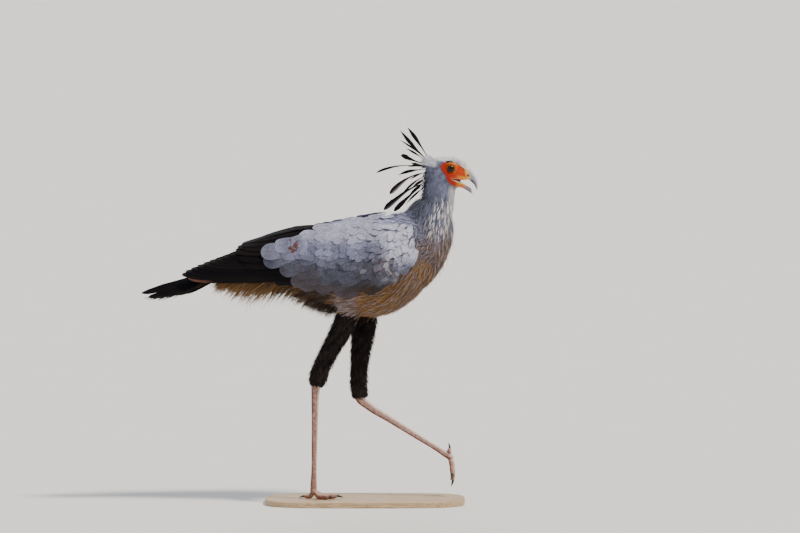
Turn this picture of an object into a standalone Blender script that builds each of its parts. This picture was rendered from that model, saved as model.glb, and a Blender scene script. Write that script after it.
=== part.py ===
"""Secretary bird, life size, caught in mid stride on a flat display base.

Metres, +Z up. The bird faces +X and its left side is +Y. The origin is the centre of the base's
underside, which lies on the floor. The bird stands on its right foot, and its left foot swings forward.
"""
import math

import bmesh
import bpy
import numpy as np
from mathutils import Matrix, Vector

GAP = 0.0003
# Edges between faces that are flatter than this are dissolved where the mesh stays closed.
FLAT_ANGLES = (0.020, 0.012, 0.006, 0.003, 0.001, 0.0)

# Display base.
BASE_LENGTH = 0.58
BASE_WIDTH = 0.27
BASE_THICKNESS = 0.016
BASE_BEVEL = 0.003
BASE_SIDES = 44
SOLE_Z = BASE_THICKNESS + GAP

# Torso stations along X: x, top z, bottom z, half width. Feathers are part of these sizes.
TORSO = (
    (0.2117, 0.7036, 0.6746, 0.012),
    (0.1972, 0.7400, 0.6543, 0.038),
    (0.1740, 0.7860, 0.6340, 0.058),
    (0.1421, 0.8230, 0.5963, 0.074),
    (0.1015, 0.8400, 0.5673, 0.084),
    (0.0580, 0.8370, 0.5499, 0.089),
    (0.0087, 0.8320, 0.5456, 0.090),
    (-0.0435, 0.8280, 0.5560, 0.087),
    (-0.1015, 0.8190, 0.5740, 0.080),
    (-0.1595, 0.8010, 0.5980, 0.070),
    (-0.2117, 0.7820, 0.6253, 0.058),
    (-0.2581, 0.7600, 0.6485, 0.043),
    (-0.2987, 0.7384, 0.6688, 0.028),
    (-0.3350, 0.7190, 0.6830, 0.012),
)
TORSO_SQUARENESS = 2.25
RUMP_CUT = ((-0.2450, 0.0, 0.7100), (-1.0, 0.0, -0.15))

# Neck, from the throat down into the breast: x, z, half depth in the side view, half width.
NECK = (
    (0.2185, 0.9500, 0.0400, 0.0270),
    (0.2165, 0.9250, 0.0450, 0.0285),
    (0.2146, 0.9050, 0.0462, 0.0295),
    (0.2117, 0.8776, 0.0475, 0.0310),
    (0.2044, 0.8399, 0.0570, 0.0380),
    (0.1885, 0.7964, 0.0690, 0.0490),
    (0.1653, 0.7529, 0.0800, 0.0620),
    (0.1363, 0.7152, 0.0880, 0.0720),
    (0.1015, 0.6862, 0.0900, 0.0760),
)
NECK_CUT = ((0.1360, 0.0, 0.8630), (0.819, 0.0, 0.573))
HEAD_CUT = ((0.2185, 0.0, 0.8950), (0.307, 0.0, 0.952))

# Head stations along X: x, top z, bottom z, half width.
HEAD = (
    (0.1754, 0.9791, 0.9414, 0.0090),
    (0.1812, 0.9907, 0.9270, 0.0170),
    (0.1943, 1.0014, 0.9150, 0.0245),
    (0.2088, 1.0072, 0.9095, 0.0285),
    (0.2262, 1.0101, 0.9081, 0.0300),
    (0.2436, 1.0104, 0.9124, 0.0288),
    (0.2581, 1.0085, 0.9162, 0.0258),
    (0.2726, 1.0040, 0.9188, 0.0212),
    (0.2842, 0.9972, 0.9205, 0.0160),
    (0.2950, 0.9885, 0.9225, 0.0125),
)
BILL_CUT = ((0.2850, 0.0, 0.9650), (0.98, 0.0, 0.20))
# The lower bill's seat on the jaw runs from inside the mouth to below the chin.
JAW_SEAT = ((0.2785, 0.9380), (0.2680, 0.9050))

EYE = (0.2488, -0.0165, 0.9756)
EYE_RADIUS = 0.0135
LID_RADIUS = 0.0122
LID_ROLL = 0.0021
LID_OUT = 0.0252
LID_OPENING = 0.0104

# The mouth is held a little open: its corner, and two points forwards on the upper and the lower edge.
GAPE_CORNER = (0.2424, 0.9500)
GAPE_UPPER = (0.3300, 0.9372)
GAPE_LOWER = (0.3300, 0.9085)

# Upper bill, from its root in the face to the hooked tip: x, z, half depth, half width.
BILL_UPPER = (
    (0.2740, 0.9690, 0.0190, 0.0120),
    (0.2860, 0.9655, 0.0195, 0.0118),
    (0.2960, 0.9605, 0.0180, 0.0110),
    (0.3050, 0.9540, 0.0138, 0.0094),
    (0.3125, 0.9460, 0.0105, 0.0074),
    (0.3185, 0.9375, 0.0078, 0.0054),
    (0.3222, 0.9290, 0.0052, 0.0038),
    (0.3238, 0.9205, 0.0034, 0.0024),
    (0.3236, 0.9140, 0.0010, 0.0009),
)
BILL_LOWER = (
    (0.2660, 0.9310, 0.0075, 0.0120),
    (0.2800, 0.9270, 0.0072, 0.0108),
    (0.2900, 0.9225, 0.0068, 0.0092),
    (0.3000, 0.9162, 0.0062, 0.0072),
    (0.3080, 0.9092, 0.0050, 0.0052),
    (0.3128, 0.9032, 0.0034, 0.0034),
    (0.3152, 0.8990, 0.0012, 0.0016),
)
NOSTRIL = (0.2985, -0.0108, 0.9560)
NOSTRIL_SIZE = (0.0048, 0.0022, 0.0016)

# Crest feathers, from the nape: root x, z; tip x, z; the sag of the shaft; the widest half width;
# the root's and the tip's distance to the left of the middle.
CREST = (
    (0.1860, 1.0000, 0.1232, 1.0944, 0.004, 0.0050, 0.004, 0.010),
    (0.1850, 0.9960, 0.1018, 1.0872, -0.004, 0.0046, -0.004, -0.012),
    (0.1845, 0.9925, 0.1008, 1.0560, 0.006, 0.0034, 0.008, 0.030),
    (0.1840, 0.9880, 0.1045, 1.0170, -0.004, 0.0062, -0.007, -0.026),
    (0.1835, 0.9825, 0.1330, 0.9940, -0.002, 0.0058, -0.010, -0.038),
    (0.1835, 0.9760, 0.0325, 0.9635, 0.014, 0.0042, -0.004, -0.006),
    (0.1835, 0.9700, 0.0960, 0.9545, 0.006, 0.0036, 0.008, 0.034),
    (0.1845, 0.9620, 0.0715, 0.9030, 0.018, 0.0060, -0.012, -0.030),
    (0.1855, 0.9560, 0.1020, 0.8930, 0.010, 0.0050, 0.011, 0.040),
    (0.1865, 0.9480, 0.0545, 0.8560, 0.008, 0.0066, -0.013, -0.022),
    (0.1875, 0.9420, 0.0840, 0.8540, 0.006, 0.0056, -0.014, -0.044),
    (0.1880, 0.9360, 0.0700, 0.8700, 0.010, 0.0050, 0.014, 0.026),
)
CREST_STEPS = (0.0, 0.16, 0.36, 0.56, 0.76, 0.91, 1.0)
CREST_SHAPE = (0.40, 0.36, 0.40, 0.60, 1.0, 0.92, 0.30)
CREST_THICKNESS = 0.0013

# Feathered thighs, from inside the belly to the hock: x, y, z, half depth, half width.
THIGH_RIGHT = (
    (-0.0290, -0.040, 0.6100, 0.0330, 0.0210),
    (-0.0430, -0.044, 0.5720, 0.0350, 0.0250),
    (-0.0600, -0.045, 0.5290, 0.0320, 0.0250),
    (-0.0820, -0.044, 0.4850, 0.0285, 0.0225),
    (-0.1060, -0.043, 0.4400, 0.0262, 0.0205),
    (-0.1270, -0.042, 0.3980, 0.0255, 0.0190),
    (-0.1370, -0.042, 0.3640, 0.0250, 0.0185),
    (-0.1395, -0.042, 0.3480, 0.0200, 0.0160),
)
THIGH_LEFT = (
    (0.0090, 0.040, 0.6030, 0.0330, 0.0210),
    (0.0020, 0.045, 0.5650, 0.0370, 0.0250),
    (-0.0030, 0.047, 0.5250, 0.0370, 0.0250),
    (-0.0080, 0.047, 0.4750, 0.0320, 0.0225),
    (-0.0140, 0.046, 0.4270, 0.0270, 0.0205),
    (-0.0180, 0.045, 0.3800, 0.0240, 0.0190),
    (-0.0180, 0.045, 0.3350, 0.0245, 0.0185),
    (-0.0150, 0.045, 0.3060, 0.0215, 0.0165),
)

# Bare shanks, from inside the hock's feathers to the toe joint: x, y, z, half depth, half width.
SHANK_RIGHT = (
    (-0.1400, -0.0420, 0.3780, 0.0080, 0.0080),
    (-0.1425, -0.0418, 0.3480, 0.0118, 0.0100),
    (-0.1440, -0.0410, 0.3220, 0.0106, 0.0090),
    (-0.1452, -0.0390, 0.2500, 0.0088, 0.0072),
    (-0.1468, -0.0360, 0.1700, 0.0078, 0.0064),
    (-0.1482, -0.0325, 0.0900, 0.0074, 0.0064),
    (-0.1492, -0.0305, 0.0580, 0.0088, 0.0080),
)
SHANK_LEFT = (
    (-0.0250, 0.0450, 0.3330, 0.0080, 0.0080),
    (-0.0180, 0.0450, 0.3040, 0.0118, 0.0100),
    (0.0080, 0.0443, 0.2810, 0.0108, 0.0092),
    (0.0750, 0.0410, 0.2390, 0.0090, 0.0074),
    (0.1450, 0.0365, 0.1955, 0.0078, 0.0064),
    (0.2080, 0.0325, 0.1570, 0.0073, 0.0063),
    (0.2330, 0.0310, 0.1412, 0.0086, 0.0078),
)
# Toe joints with the directions in which the toes and the shin point there.
JOINT_RIGHT = (-0.1495, -0.0300, 0.0410)
JOINT_LEFT = (0.2475, 0.0303, 0.1322)
JOINT_RADIUS = 0.0102
TOE_DROP = JOINT_RIGHT[2] - SOLE_Z
# Toes: name, heading from straight ahead in degrees (towards the midline is positive), length, radius.
TOES = (
    ("middle", 0.0, 0.068, 0.0078),
    ("inner", 30.0, 0.050, 0.0072),
    ("outer", -30.0, 0.052, 0.0072),
    ("hind", 172.0, 0.026, 0.0064),
)
CLAW_LENGTH = 0.018

# Wing guide, the closed fan of both folded wings: x, top z, bottom z, half width.
WING_GUIDE = (
    (0.1650, 0.8420, 0.5900, 0.0670),
    (0.1305, 0.8480, 0.5780, 0.0790),
    (0.1015, 0.8440, 0.5650, 0.0860),
    (0.0580, 0.8400, 0.5470, 0.0905),
    (0.0087, 0.8350, 0.5430, 0.0915),
    (-0.0435, 0.8310, 0.5530, 0.0890),
    (-0.1015, 0.8220, 0.5710, 0.0830),
    (-0.1595, 0.8060, 0.5960, 0.0750),
    (-0.2117, 0.7940, 0.6130, 0.0680),
    (-0.2581, 0.7800, 0.6230, 0.0630),
    (-0.2987, 0.7650, 0.6300, 0.0590),
    (-0.3625, 0.7450, 0.6340, 0.0550),
    (-0.4350, 0.7160, 0.6280, 0.0490),
    (-0.5000, 0.6890, 0.6060, 0.0410),
    (-0.5650, 0.6550, 0.5850, 0.0330),
)
GUIDE_SQUARENESS = 2.2

# Arm of the folded wing on the guide, under its coverts: x, upper z, lower z, thickness.
WING_ARM = (
    (0.1530, 0.8130, 0.7900, 0.0040),
    (0.1430, 0.8240, 0.7480, 0.0100),
    (0.1300, 0.8290, 0.7230, 0.0130),
    (0.1015, 0.8320, 0.6820, 0.0150),
    (0.0580, 0.8300, 0.6560, 0.0150),
    (0.0087, 0.8260, 0.6400, 0.0145),
    (-0.0435, 0.8210, 0.6290, 0.0135),
    (-0.1015, 0.8120, 0.6350, 0.0130),
    (-0.1595, 0.7960, 0.6470, 0.0125),
    (-0.2000, 0.7820, 0.6560, 0.0120),
    (-0.2350, 0.7650, 0.6820, 0.0115),
    (-0.2700, 0.7440, 0.7080, 0.0105),
)
WING_SINK = 0.0040
WING_COLUMNS = 12
WING_ROWS = 5

# Edge of the grey coverts, from the wrist along the lower edge to the rear and up to the back: x, z.
COVERT_EDGE = (
    (0.1480, 0.7620),
    (0.1380, 0.7300),
    (0.1180, 0.6950),
    (0.0920, 0.6640),
    (0.0580, 0.6440),
    (0.0116, 0.6270),
    (-0.0377, 0.6145),
    (-0.1044, 0.6230),
    (-0.1566, 0.6340),
    (-0.2050, 0.6480),
    (-0.2360, 0.6740),
    (-0.2800, 0.6980),
    (-0.3020, 0.7300),
    (-0.2700, 0.7530),
    (-0.2200, 0.7720),
)
# Rows of coverts from the edge inwards: how far the tips stand back from the edge, how many, length,
# half width.
COVERT_ROWS = (
    (0.000, 14, 0.060, 0.0210),
    (0.041, 9, 0.054, 0.0210),
)
COVERT_STEPS = (0.0, 0.7, 1.0)
COVERT_SHAPE = (0.80, 1.0, 0.42)
COVERT_THICKNESS = 0.0011
COVERT_LIFTS = (-0.0016, 0.0014, 0.0022)

# Flight feathers, each set between its first and its last: root x, z; tip x, z; lift of the tip
# above the guide. The primaries lie under the secondaries, and the tertials on top of all.
PRIMARIES = 10
PRIMARY_TIPS = (
    (-0.392, 0.722), (-0.412, 0.715), (-0.432, 0.709), (-0.450, 0.703), (-0.468, 0.697),
    (-0.486, 0.690), (-0.503, 0.683), (-0.519, 0.676), (-0.530, 0.668), (-0.514, 0.661),
)
PRIMARY_ROOTS = ((-0.215, 0.736), (-0.185, 0.666))
PRIMARY_LIFTS = (0.0048, 0.0012)
PRIMARY_HALF = 0.0135
PRIMARY_TILT = math.radians(11.0)
SECONDARY_TIPS = (
    (-0.338, 0.766), (-0.366, 0.751), (-0.374, 0.734), (-0.364, 0.716), (-0.346, 0.699),
    (-0.322, 0.684), (-0.294, 0.670), (-0.262, 0.656),
)
SECONDARY_ROOTS = ((-0.205, 0.768), (-0.170, 0.668))
SECONDARY_LIFTS = (0.0102, 0.0068)
SECONDARY_HALF = 0.0150
SECONDARY_TILT = math.radians(7.5)
FLIGHT_STEPS = (0.0, 0.45, 0.85, 1.0)
FLIGHT_SHAPE = (0.90, 1.0, 0.88, 0.28)
FLIGHT_THICKNESS = 0.0008
FLIGHT_BEND = 20.0
COVERT_TILT = math.radians(4.0)

# Closed tail as a roof: x, ridge z, edge z, half width.
TAIL = (
    (-0.2540, 0.7190, 0.6960, 0.0200),
    (-0.3000, 0.7120, 0.6900, 0.0250),
    (-0.3900, 0.6900, 0.6630, 0.0310),
    (-0.4400, 0.6780, 0.6490, 0.0350),
    (-0.4840, 0.6660, 0.6320, 0.0400),
    (-0.5480, 0.6500, 0.6150, 0.0390),
    (-0.5900, 0.6380, 0.6080, 0.0300),
    (-0.6290, 0.6230, 0.6050, 0.0180),
    (-0.6490, 0.6150, 0.6090, 0.0080),
)
# Tail feathers of one side from the middle outwards: tip x, share of the roof's half width at the tip.
TAIL_FEATHERS = (
    (-0.6490, 0.75), (-0.6050, 0.55), (-0.5850, 0.70), (-0.5650, 0.78), (-0.5420, 0.84), (-0.5180, 0.88),
)
TAIL_HALF = (0.0125, 0.0125, 0.0120, 0.0115, 0.0110, 0.0105)
TAIL_STEP = 0.0015
TAIL_THICKNESS = 0.0010

# Loose feathers under the rump, in rows: root x, count, half spread in degrees from straight below,
# length, droop below the body's own line.
RUMP_ROWS = (
    (-0.140, 4, 34, 0.056, 0.014),
    (-0.175, 5, 40, 0.062, 0.018),
    (-0.208, 5, 44, 0.052, 0.016),
)
UNDERTAIL_ROWS = (
    (-0.274, 4, 46, 0.060, 0.012),
    (-0.298, 3, 40, 0.060, 0.009),
)
LOCK_HALF = 0.0085
LOCK_THICKNESS = 0.0018
SEED = 7


def clear_scene():
    for obj in list(bpy.data.objects):
        bpy.data.objects.remove(obj, do_unlink=True)


def make_collection(name):
    collection = bpy.data.collections.new(name)
    bpy.context.scene.collection.children.link(collection)
    return collection


def material(name, colour, roughness):
    made = bpy.data.materials.new(name)
    made.use_nodes = True
    shader = made.node_tree.nodes["Principled BSDF"]
    shader.inputs["Base Color"].default_value = (*colour, 1.0)
    shader.inputs["Roughness"].default_value = roughness
    return made


def hermite(at, rows, slopes, wanted):
    """Rows of numbers read from the smooth curve through them."""
    index = np.clip(np.searchsorted(at, wanted, side="right") - 1, 0, len(at) - 2)
    span = (at[index + 1] - at[index])[:, None]
    t = (wanted - at[index])[:, None] / span
    return (
        rows[index] * (1 + 2 * t) * (1 - t) ** 2
        + slopes[index] * t * (1 - t) ** 2 * span
        + rows[index + 1] * t * t * (3 - 2 * t)
        + slopes[index + 1] * t * t * (t - 1) * span
    )


def along_curve(rows, count):
    """Rows at equal steps along the curve, whose length is measured in the first two columns."""
    rows = np.array(rows, float)
    steps = np.linalg.norm(np.diff(rows[:, :2], axis=0), axis=1)
    at = np.concatenate([[0.0], np.cumsum(steps)])
    return hermite(at, rows, np.gradient(rows, at, axis=0), np.linspace(0.0, at[-1], count))


def stations_at(rows, x):
    """The other columns of a table of stations at the places x along it."""
    rows = np.array(sorted(rows), float)
    x = np.clip(np.atleast_1d(np.asarray(x, float)), rows[0, 0], rows[-1, 0])
    return hermite(rows[:, 0], rows, np.gradient(rows, rows[:, 0], axis=0), x)[:, 1:]


def signed_power(value, power):
    return np.sign(value) * np.abs(value) ** power


def unit(vector):
    return vector / np.linalg.norm(vector, axis=-1, keepdims=True)


def new_object(name, verts, faces, collection):
    mesh = bpy.data.meshes.new(name)
    mesh.from_pydata([tuple(map(float, v)) for v in verts], [], faces)
    obj = bpy.data.objects.new(name, mesh)
    collection.objects.link(obj)
    face_outwards(obj)
    return obj


def face_outwards(obj):
    edit = bmesh.new()
    edit.from_mesh(obj.data)
    bmesh.ops.recalc_face_normals(edit, faces=edit.faces)
    if edit.calc_volume(signed=True) < 0:
        bmesh.ops.reverse_faces(edit, faces=edit.faces)
    edit.to_mesh(obj.data)
    edit.free()


def loft(name, rings, collection):
    """A closed skin over rings of equal count, with a fan of triangles at each end."""
    rings = [np.asarray(ring, float) for ring in rings]
    sides = len(rings[0])
    verts = np.concatenate(rings + [rings[0].mean(0)[None], rings[-1].mean(0)[None]])
    last_ring = (len(rings) - 1) * sides
    faces = []
    for start in range(0, last_ring, sides):
        for k in range(sides):
            j = (k + 1) % sides
            faces.append((start + k, start + sides + k, start + sides + j, start + j))
    for k in range(sides):
        j = (k + 1) % sides
        faces.append((last_ring + sides, k, j))
        faces.append((last_ring + sides + 1, last_ring + j, last_ring + k))
    return new_object(name, verts, faces, collection)


def upright_rings(stations, count, sides, squareness):
    """Rings in planes of constant X from stations of x, top z, bottom z and half width."""
    angle = np.linspace(0, 2 * math.pi, sides, endpoint=False)
    across = signed_power(np.sin(angle), 2 / squareness)
    upward = signed_power(np.cos(angle), 2 / squareness)
    rings = []
    for x, top, bottom, half in along_curve(stations, count):
        ring = [np.full(sides, x), across * half, (top + bottom) / 2 + upward * (top - bottom) / 2]
        rings.append(np.stack(ring, 1))
    return rings


def tube_rings(path, depths, widths, sides):
    """Rings square to a path. Depth lies in the side view's plane and width across it."""
    ahead = unit(np.gradient(path, axis=0))
    angle = np.linspace(0, 2 * math.pi, sides, endpoint=False)
    left = np.array((0.0, 1.0, 0.0))
    rings = []
    for centre, forward, depth, width in zip(path, ahead, depths, widths):
        side = unit(left - left @ forward * forward)
        front = np.cross(side, forward)
        ring = np.cos(angle)[:, None] * front * depth + np.sin(angle)[:, None] * side * width
        rings.append(centre + ring)
    return rings


def tube(name, stations, count, sides, collection, grow=0.0):
    """A tube through stations of x, y, z, half depth and half width, grown on all sides for a cutter."""
    rows = along_curve([(s[0], s[2], s[1], s[3], s[4]) for s in stations], count)
    path = np.stack([rows[:, 0], rows[:, 2], rows[:, 1]], 1)
    if grow:
        path[0] += unit(path[0] - path[1]) * grow
        path[-1] += unit(path[-1] - path[-2]) * grow
    return loft(name, tube_rings(path, rows[:, 3] + grow, rows[:, 4] + grow, sides), collection)


def ball(name, centre, radius, collection, segments=16, rings=10, scale=(1.0, 1.0, 1.0)):
    edit = bmesh.new()
    bmesh.ops.create_uvsphere(edit, u_segments=segments, v_segments=rings, radius=radius)
    bmesh.ops.scale(edit, vec=scale, verts=edit.verts)
    bmesh.ops.translate(edit, vec=Vector(centre), verts=edit.verts)
    mesh = bpy.data.meshes.new(name)
    edit.to_mesh(mesh)
    edit.free()
    obj = bpy.data.objects.new(name, mesh)
    collection.objects.link(obj)
    return obj


def vane(name, path, across, normals, halves, thickness, collection, columns=2, bend=0.0):
    """A feather as a thin closed plate along a path, split into triangles alike on both faces.

    Its edges bend down with the curvature given.
    """
    count = len(path)
    share = np.linspace(-1, 1, columns)
    rows = path[:, None] + across[:, None] * (halves[:, None] * share)[..., None]
    rows = rows - normals[:, None] * ((halves[:, None] * share) ** 2 * bend / 2)[..., None]
    lift = (normals * np.broadcast_to(thickness, (count,))[:, None] / 2)[:, None]
    verts = np.concatenate([(rows + lift).reshape(-1, 3), (rows - lift).reshape(-1, 3)])
    under = count * columns
    faces = []
    for a in range(0, under - columns, columns):
        b = a + columns
        for c in range(columns - 1):
            faces.append((a + c, b + c, b + c + 1))
            faces.append((a + c, b + c + 1, a + c + 1))
            faces.append((under + a + c, under + b + c + 1, under + b + c))
            faces.append((under + a + c, under + a + c + 1, under + b + c + 1))
        for c in (0, columns - 1):
            faces.append((a + c, under + a + c, under + b + c))
            faces.append((a + c, under + b + c, b + c))
    for a in (0, under - columns):
        for c in range(a, a + columns - 1):
            faces.append((c, c + 1, under + c + 1, under + c))
    return new_object(name, verts, faces, collection)


def largest_surface(obj):
    """Keeps the largest closed surface of a mesh, and splits it into triangles."""
    edit = bmesh.new()
    edit.from_mesh(obj.data)
    left, shells = set(edit.verts), []
    while left:
        shell, front = set(), [next(iter(left))]
        while front:
            vert = front.pop()
            if vert not in shell:
                shell.add(vert)
                front.extend(edge.other_vert(vert) for edge in vert.link_edges)
        left -= shell
        shells.append(shell)
    shells.sort(key=lambda shell: np.prod(np.ptp([tuple(v.co) for v in shell], axis=0) + 1e-6))
    loose = [vert for shell in shells[:-1] for vert in shell]
    bmesh.ops.delete(edit, geom=loose, context="VERTS")
    for angle in FLAT_ANGLES:
        simpler = edit.copy()
        bmesh.ops.dissolve_limit(simpler, angle_limit=angle, verts=simpler.verts, edges=simpler.edges)
        bmesh.ops.triangulate(simpler, faces=simpler.faces)
        if all(edge.is_manifold for edge in simpler.edges):
            break
    simpler.to_mesh(obj.data)


def combine(base, tools, operation, solver="EXACT"):
    """Joins tools to the base's mesh, or cuts them from it, and removes the tools."""
    helpers = make_collection("helpers")
    for tool in tools:
        for holder in list(tool.users_collection):
            holder.objects.unlink(tool)
        helpers.objects.link(tool)
    modifier = base.modifiers.new("combine", "BOOLEAN")
    modifier.operation = operation
    modifier.solver = solver
    modifier.operand_type = "COLLECTION"
    modifier.collection = helpers
    bpy.context.view_layer.update()
    mesh = bpy.data.meshes.new_from_object(base.evaluated_get(bpy.context.evaluated_depsgraph_get()))
    base.modifiers.clear()
    base.data = mesh
    for tool in list(helpers.objects):
        bpy.data.objects.remove(tool, do_unlink=True)
    bpy.data.collections.remove(helpers)
    largest_surface(base)
    return base


def keep_side(obj, cut, keep, shift=0.0):
    """Cuts a closed mesh by a plane and closes it. Keeps the side of the normal for keep = 1."""
    point, normal = Vector(cut[0]), Vector(cut[1]).normalized() * keep
    edit = bmesh.new()
    edit.from_mesh(obj.data)
    geometry = list(edit.verts) + list(edit.edges) + list(edit.faces)
    bmesh.ops.bisect_plane(
        edit, geom=geometry, dist=1e-7, plane_co=point + normal * shift, plane_no=normal, clear_inner=True
    )
    rim = [edge for edge in edit.edges if edge.is_boundary]
    bmesh.ops.holes_fill(edit, edges=rim, sides=0)
    edit.to_mesh(obj.data)
    edit.free()
    largest_surface(obj)
    return obj


def copy_of(obj, collection):
    twin = obj.copy()
    twin.data = obj.data.copy()
    collection.objects.link(twin)
    return twin


def mirrored(obj, collection):
    """The same piece on the other side of the body."""
    twin = copy_of(obj, collection)
    twin.data.transform(Matrix.Diagonal((1.0, -1.0, 1.0, 1.0)))
    face_outwards(twin)
    return twin


def finish(obj, name, look, collection):
    """Names the piece, gives it its material and moves it to the bird's own collection."""
    obj.name = name
    obj.data.name = name
    obj.data.materials.clear()
    obj.data.materials.append(look)
    for holder in list(obj.users_collection):
        holder.objects.unlink(obj)
    collection.objects.link(obj)
    return obj


def body_point(table, squareness, x, turn):
    """A point of a body of stations. Turn runs from its top, positive down its right side."""
    top, bottom, half = stations_at(table, x)[0]
    y = -half * signed_power(math.sin(turn), 2 / squareness)
    z = (top + bottom) / 2 + (top - bottom) / 2 * signed_power(math.cos(turn), 2 / squareness)
    return np.array((x, y, z))


def body_frame(table, squareness, x, turn):
    """The same point with the body's outward normal there."""
    here = body_point(table, squareness, x, turn)
    by_x = body_point(table, squareness, x - 1e-4, turn) - here
    by_turn = body_point(table, squareness, x, turn + 1e-4) - here
    return here, unit(np.cross(by_x, by_turn))


def guide_frame(x, z):
    """Point and outward normal of the wing guide's right side where the side view shows x and z."""
    top, bottom, _ = stations_at(WING_GUIDE, x)[0]
    share = np.clip((z - (top + bottom) / 2) / ((top - bottom) / 2), -0.985, 0.985)
    turn = math.acos(signed_power(share, GUIDE_SQUARENESS / 2))
    return body_frame(WING_GUIDE, GUIDE_SQUARENESS, x, turn)


def arm_height(x, z):
    """Height of the wing's arm above the guide where the side view shows x and z."""
    upper, lower, thick = stations_at(WING_ARM, x)[0]
    share = np.clip((2 * z - upper - lower) / (upper - lower), -0.9, 0.9)
    return thick * (1 - 0.55 * share ** 6)


def wing_arm(collection, grow=0.0):
    """The right wing's closed pad over the guide."""
    outer, inner = [], []
    table = along_curve(WING_ARM, WING_COLUMNS)
    table[0, 0] += grow
    table[-1, 0] -= grow
    share = np.linspace(-1, 1, WING_ROWS)
    for x, upper, lower, thick in table:
        for z, rise in zip(np.linspace(upper + grow, lower - grow, WING_ROWS), 1 - 0.55 * share ** 6):
            here, normal = guide_frame(x, z)
            outer.append(here + normal * (thick * rise + grow))
            inner.append(here - normal * (min(WING_SINK, thick) + grow))
    rows = WING_ROWS
    back = WING_COLUMNS * rows
    faces = []
    for a in range(0, back - rows, rows):
        b = a + rows
        for r in range(rows - 1):
            faces.append((a + r, b + r, b + r + 1, a + r + 1))
            faces.append((back + a + r, back + a + r + 1, back + b + r + 1, back + b + r))
        for r in (0, rows - 1):
            faces.append((a + r, back + a + r, back + b + r, b + r))
    for a in (0, back - rows):
        for r in range(a, a + rows - 1):
            faces.append((r, r + 1, back + r + 1, back + r))
    obj = new_object("wing", np.array(outer + inner), faces, collection)
    largest_surface(obj)
    return obj


def wing_vane(points, lifts, halves, thickness, tilt, collection, columns=2, bend=0.0):
    """A vane laid along the wing guide through points of x and z, its lower edge tilted out."""
    frames = [guide_frame(x, z) for x, z in points]
    normals = np.array([normal for _, normal in frames])
    path = np.array([here for here, _ in frames]) + normals * np.asarray(lifts)[:, None]
    ahead = unit(np.gradient(path, axis=0))
    down = unit(np.cross(normals, ahead))
    across = down * math.cos(tilt) + normals * math.sin(tilt)
    facing = unit(np.cross(ahead, across))
    return vane("vane", path, across, facing, halves, thickness, collection, columns, bend)


def flight_vanes(collection):
    """Primaries, then secondaries with the tertials, each fanned out from the arm to its own tip."""
    steps = np.array(FLIGHT_STEPS)[:, None]
    made = []
    sets = (
        (PRIMARY_TIPS, PRIMARY_ROOTS, PRIMARY_LIFTS, PRIMARY_HALF, PRIMARY_TILT),
        (SECONDARY_TIPS, SECONDARY_ROOTS, SECONDARY_LIFTS, SECONDARY_HALF, SECONDARY_TILT),
    )
    for tips, roots, lifts, half, tilt in sets:
        for index, tip in enumerate(tips):
            share = index / (len(tips) - 1)
            root = np.array(roots[0]) * (1 - share) + np.array(roots[1]) * share
            points = root * (1 - steps) + np.array(tip) * steps
            lift = lifts[0] * (1 - share) + lifts[1] * share
            rise = lift * (0.94 + 0.06 * steps[:, 0])
            halves = half * np.array(FLIGHT_SHAPE)
            made.append(wing_vane(points, rise, halves, FLIGHT_THICKNESS, tilt, collection, 3, FLIGHT_BEND))
    return made


def covert_heading(x, z):
    """The way coverts point in the side view: down and back at the wrist, and back at the rear."""
    fall = math.radians(16 + 50 * min(1.0, max(0.0, (x + 0.20) / 0.34)) ** 1.4)
    fall -= math.radians(22) * min(1.0, max(0.0, (z - 0.70) / 0.13))
    return np.array((-math.cos(fall), -math.sin(fall)))


def covert_vanes(collection, rng):
    """Rows of rounded coverts, each row's tips a step further inside the edge than the last."""
    made = []
    steps = np.array(COVERT_STEPS)[:, None]
    for inset, count, length, half in COVERT_ROWS:
        for edge in along_curve(COVERT_EDGE, count + 2)[1:-1]:
            heading = covert_heading(*edge)
            tip = edge - heading * (inset + rng.uniform(-0.003, 0.003))
            root = tip - heading * length * rng.uniform(0.92, 1.08)
            upper, lower, _ = stations_at(WING_ARM, root[0])[0]
            root[1] = np.clip(root[1], lower + 0.006, upper - 0.006)
            points = root * (1 - steps) + tip * steps
            rise = [arm_height(x, z) for x, z in points]
            lifts = np.array(rise) + COVERT_LIFTS
            halves = half * np.array(COVERT_SHAPE)
            made.append(wing_vane(points, lifts, halves, COVERT_THICKNESS, COVERT_TILT, collection))
    return made


def tail_vanes(collection):
    """Twelve tail feathers in a shallow roof, the middle pair the longest and on top."""
    made = []
    steps = np.array((0.0, 0.35, 0.7, 0.92, 1.0))
    shape = np.array((0.55, 0.95, 1.0, 0.80, 0.28))
    root_x = TAIL[0][0] - 0.006
    for side in (-1, 1):
        for rank, (tip_x, share) in enumerate(TAIL_FEATHERS):
            xs = root_x + (tip_x - root_x) * steps
            ridge, edge, half = stations_at(TAIL, xs).T
            spread = 0.08 + (share - 0.08) * steps if rank else 0.05 + 0.25 * steps
            offset = np.maximum(half * spread, 0.0006 + rank * 0.0012)
            slope = (ridge - edge) / half
            drop = TAIL_STEP * rank * (1.0 - 0.35 * steps) + (0.0006 if side > 0 else 0.0)
            path = np.stack([xs, side * offset, ridge - slope * offset - drop], 1)
            across = unit(np.stack([np.zeros(5), np.full(5, side * 1.0), -slope], 1))
            normals = unit(np.cross(across, np.gradient(path, axis=0))) * -side
            halves = TAIL_HALF[rank] * shape
            made.append(vane("tail", path, across, normals, halves, TAIL_THICKNESS, collection))
    return made


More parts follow.
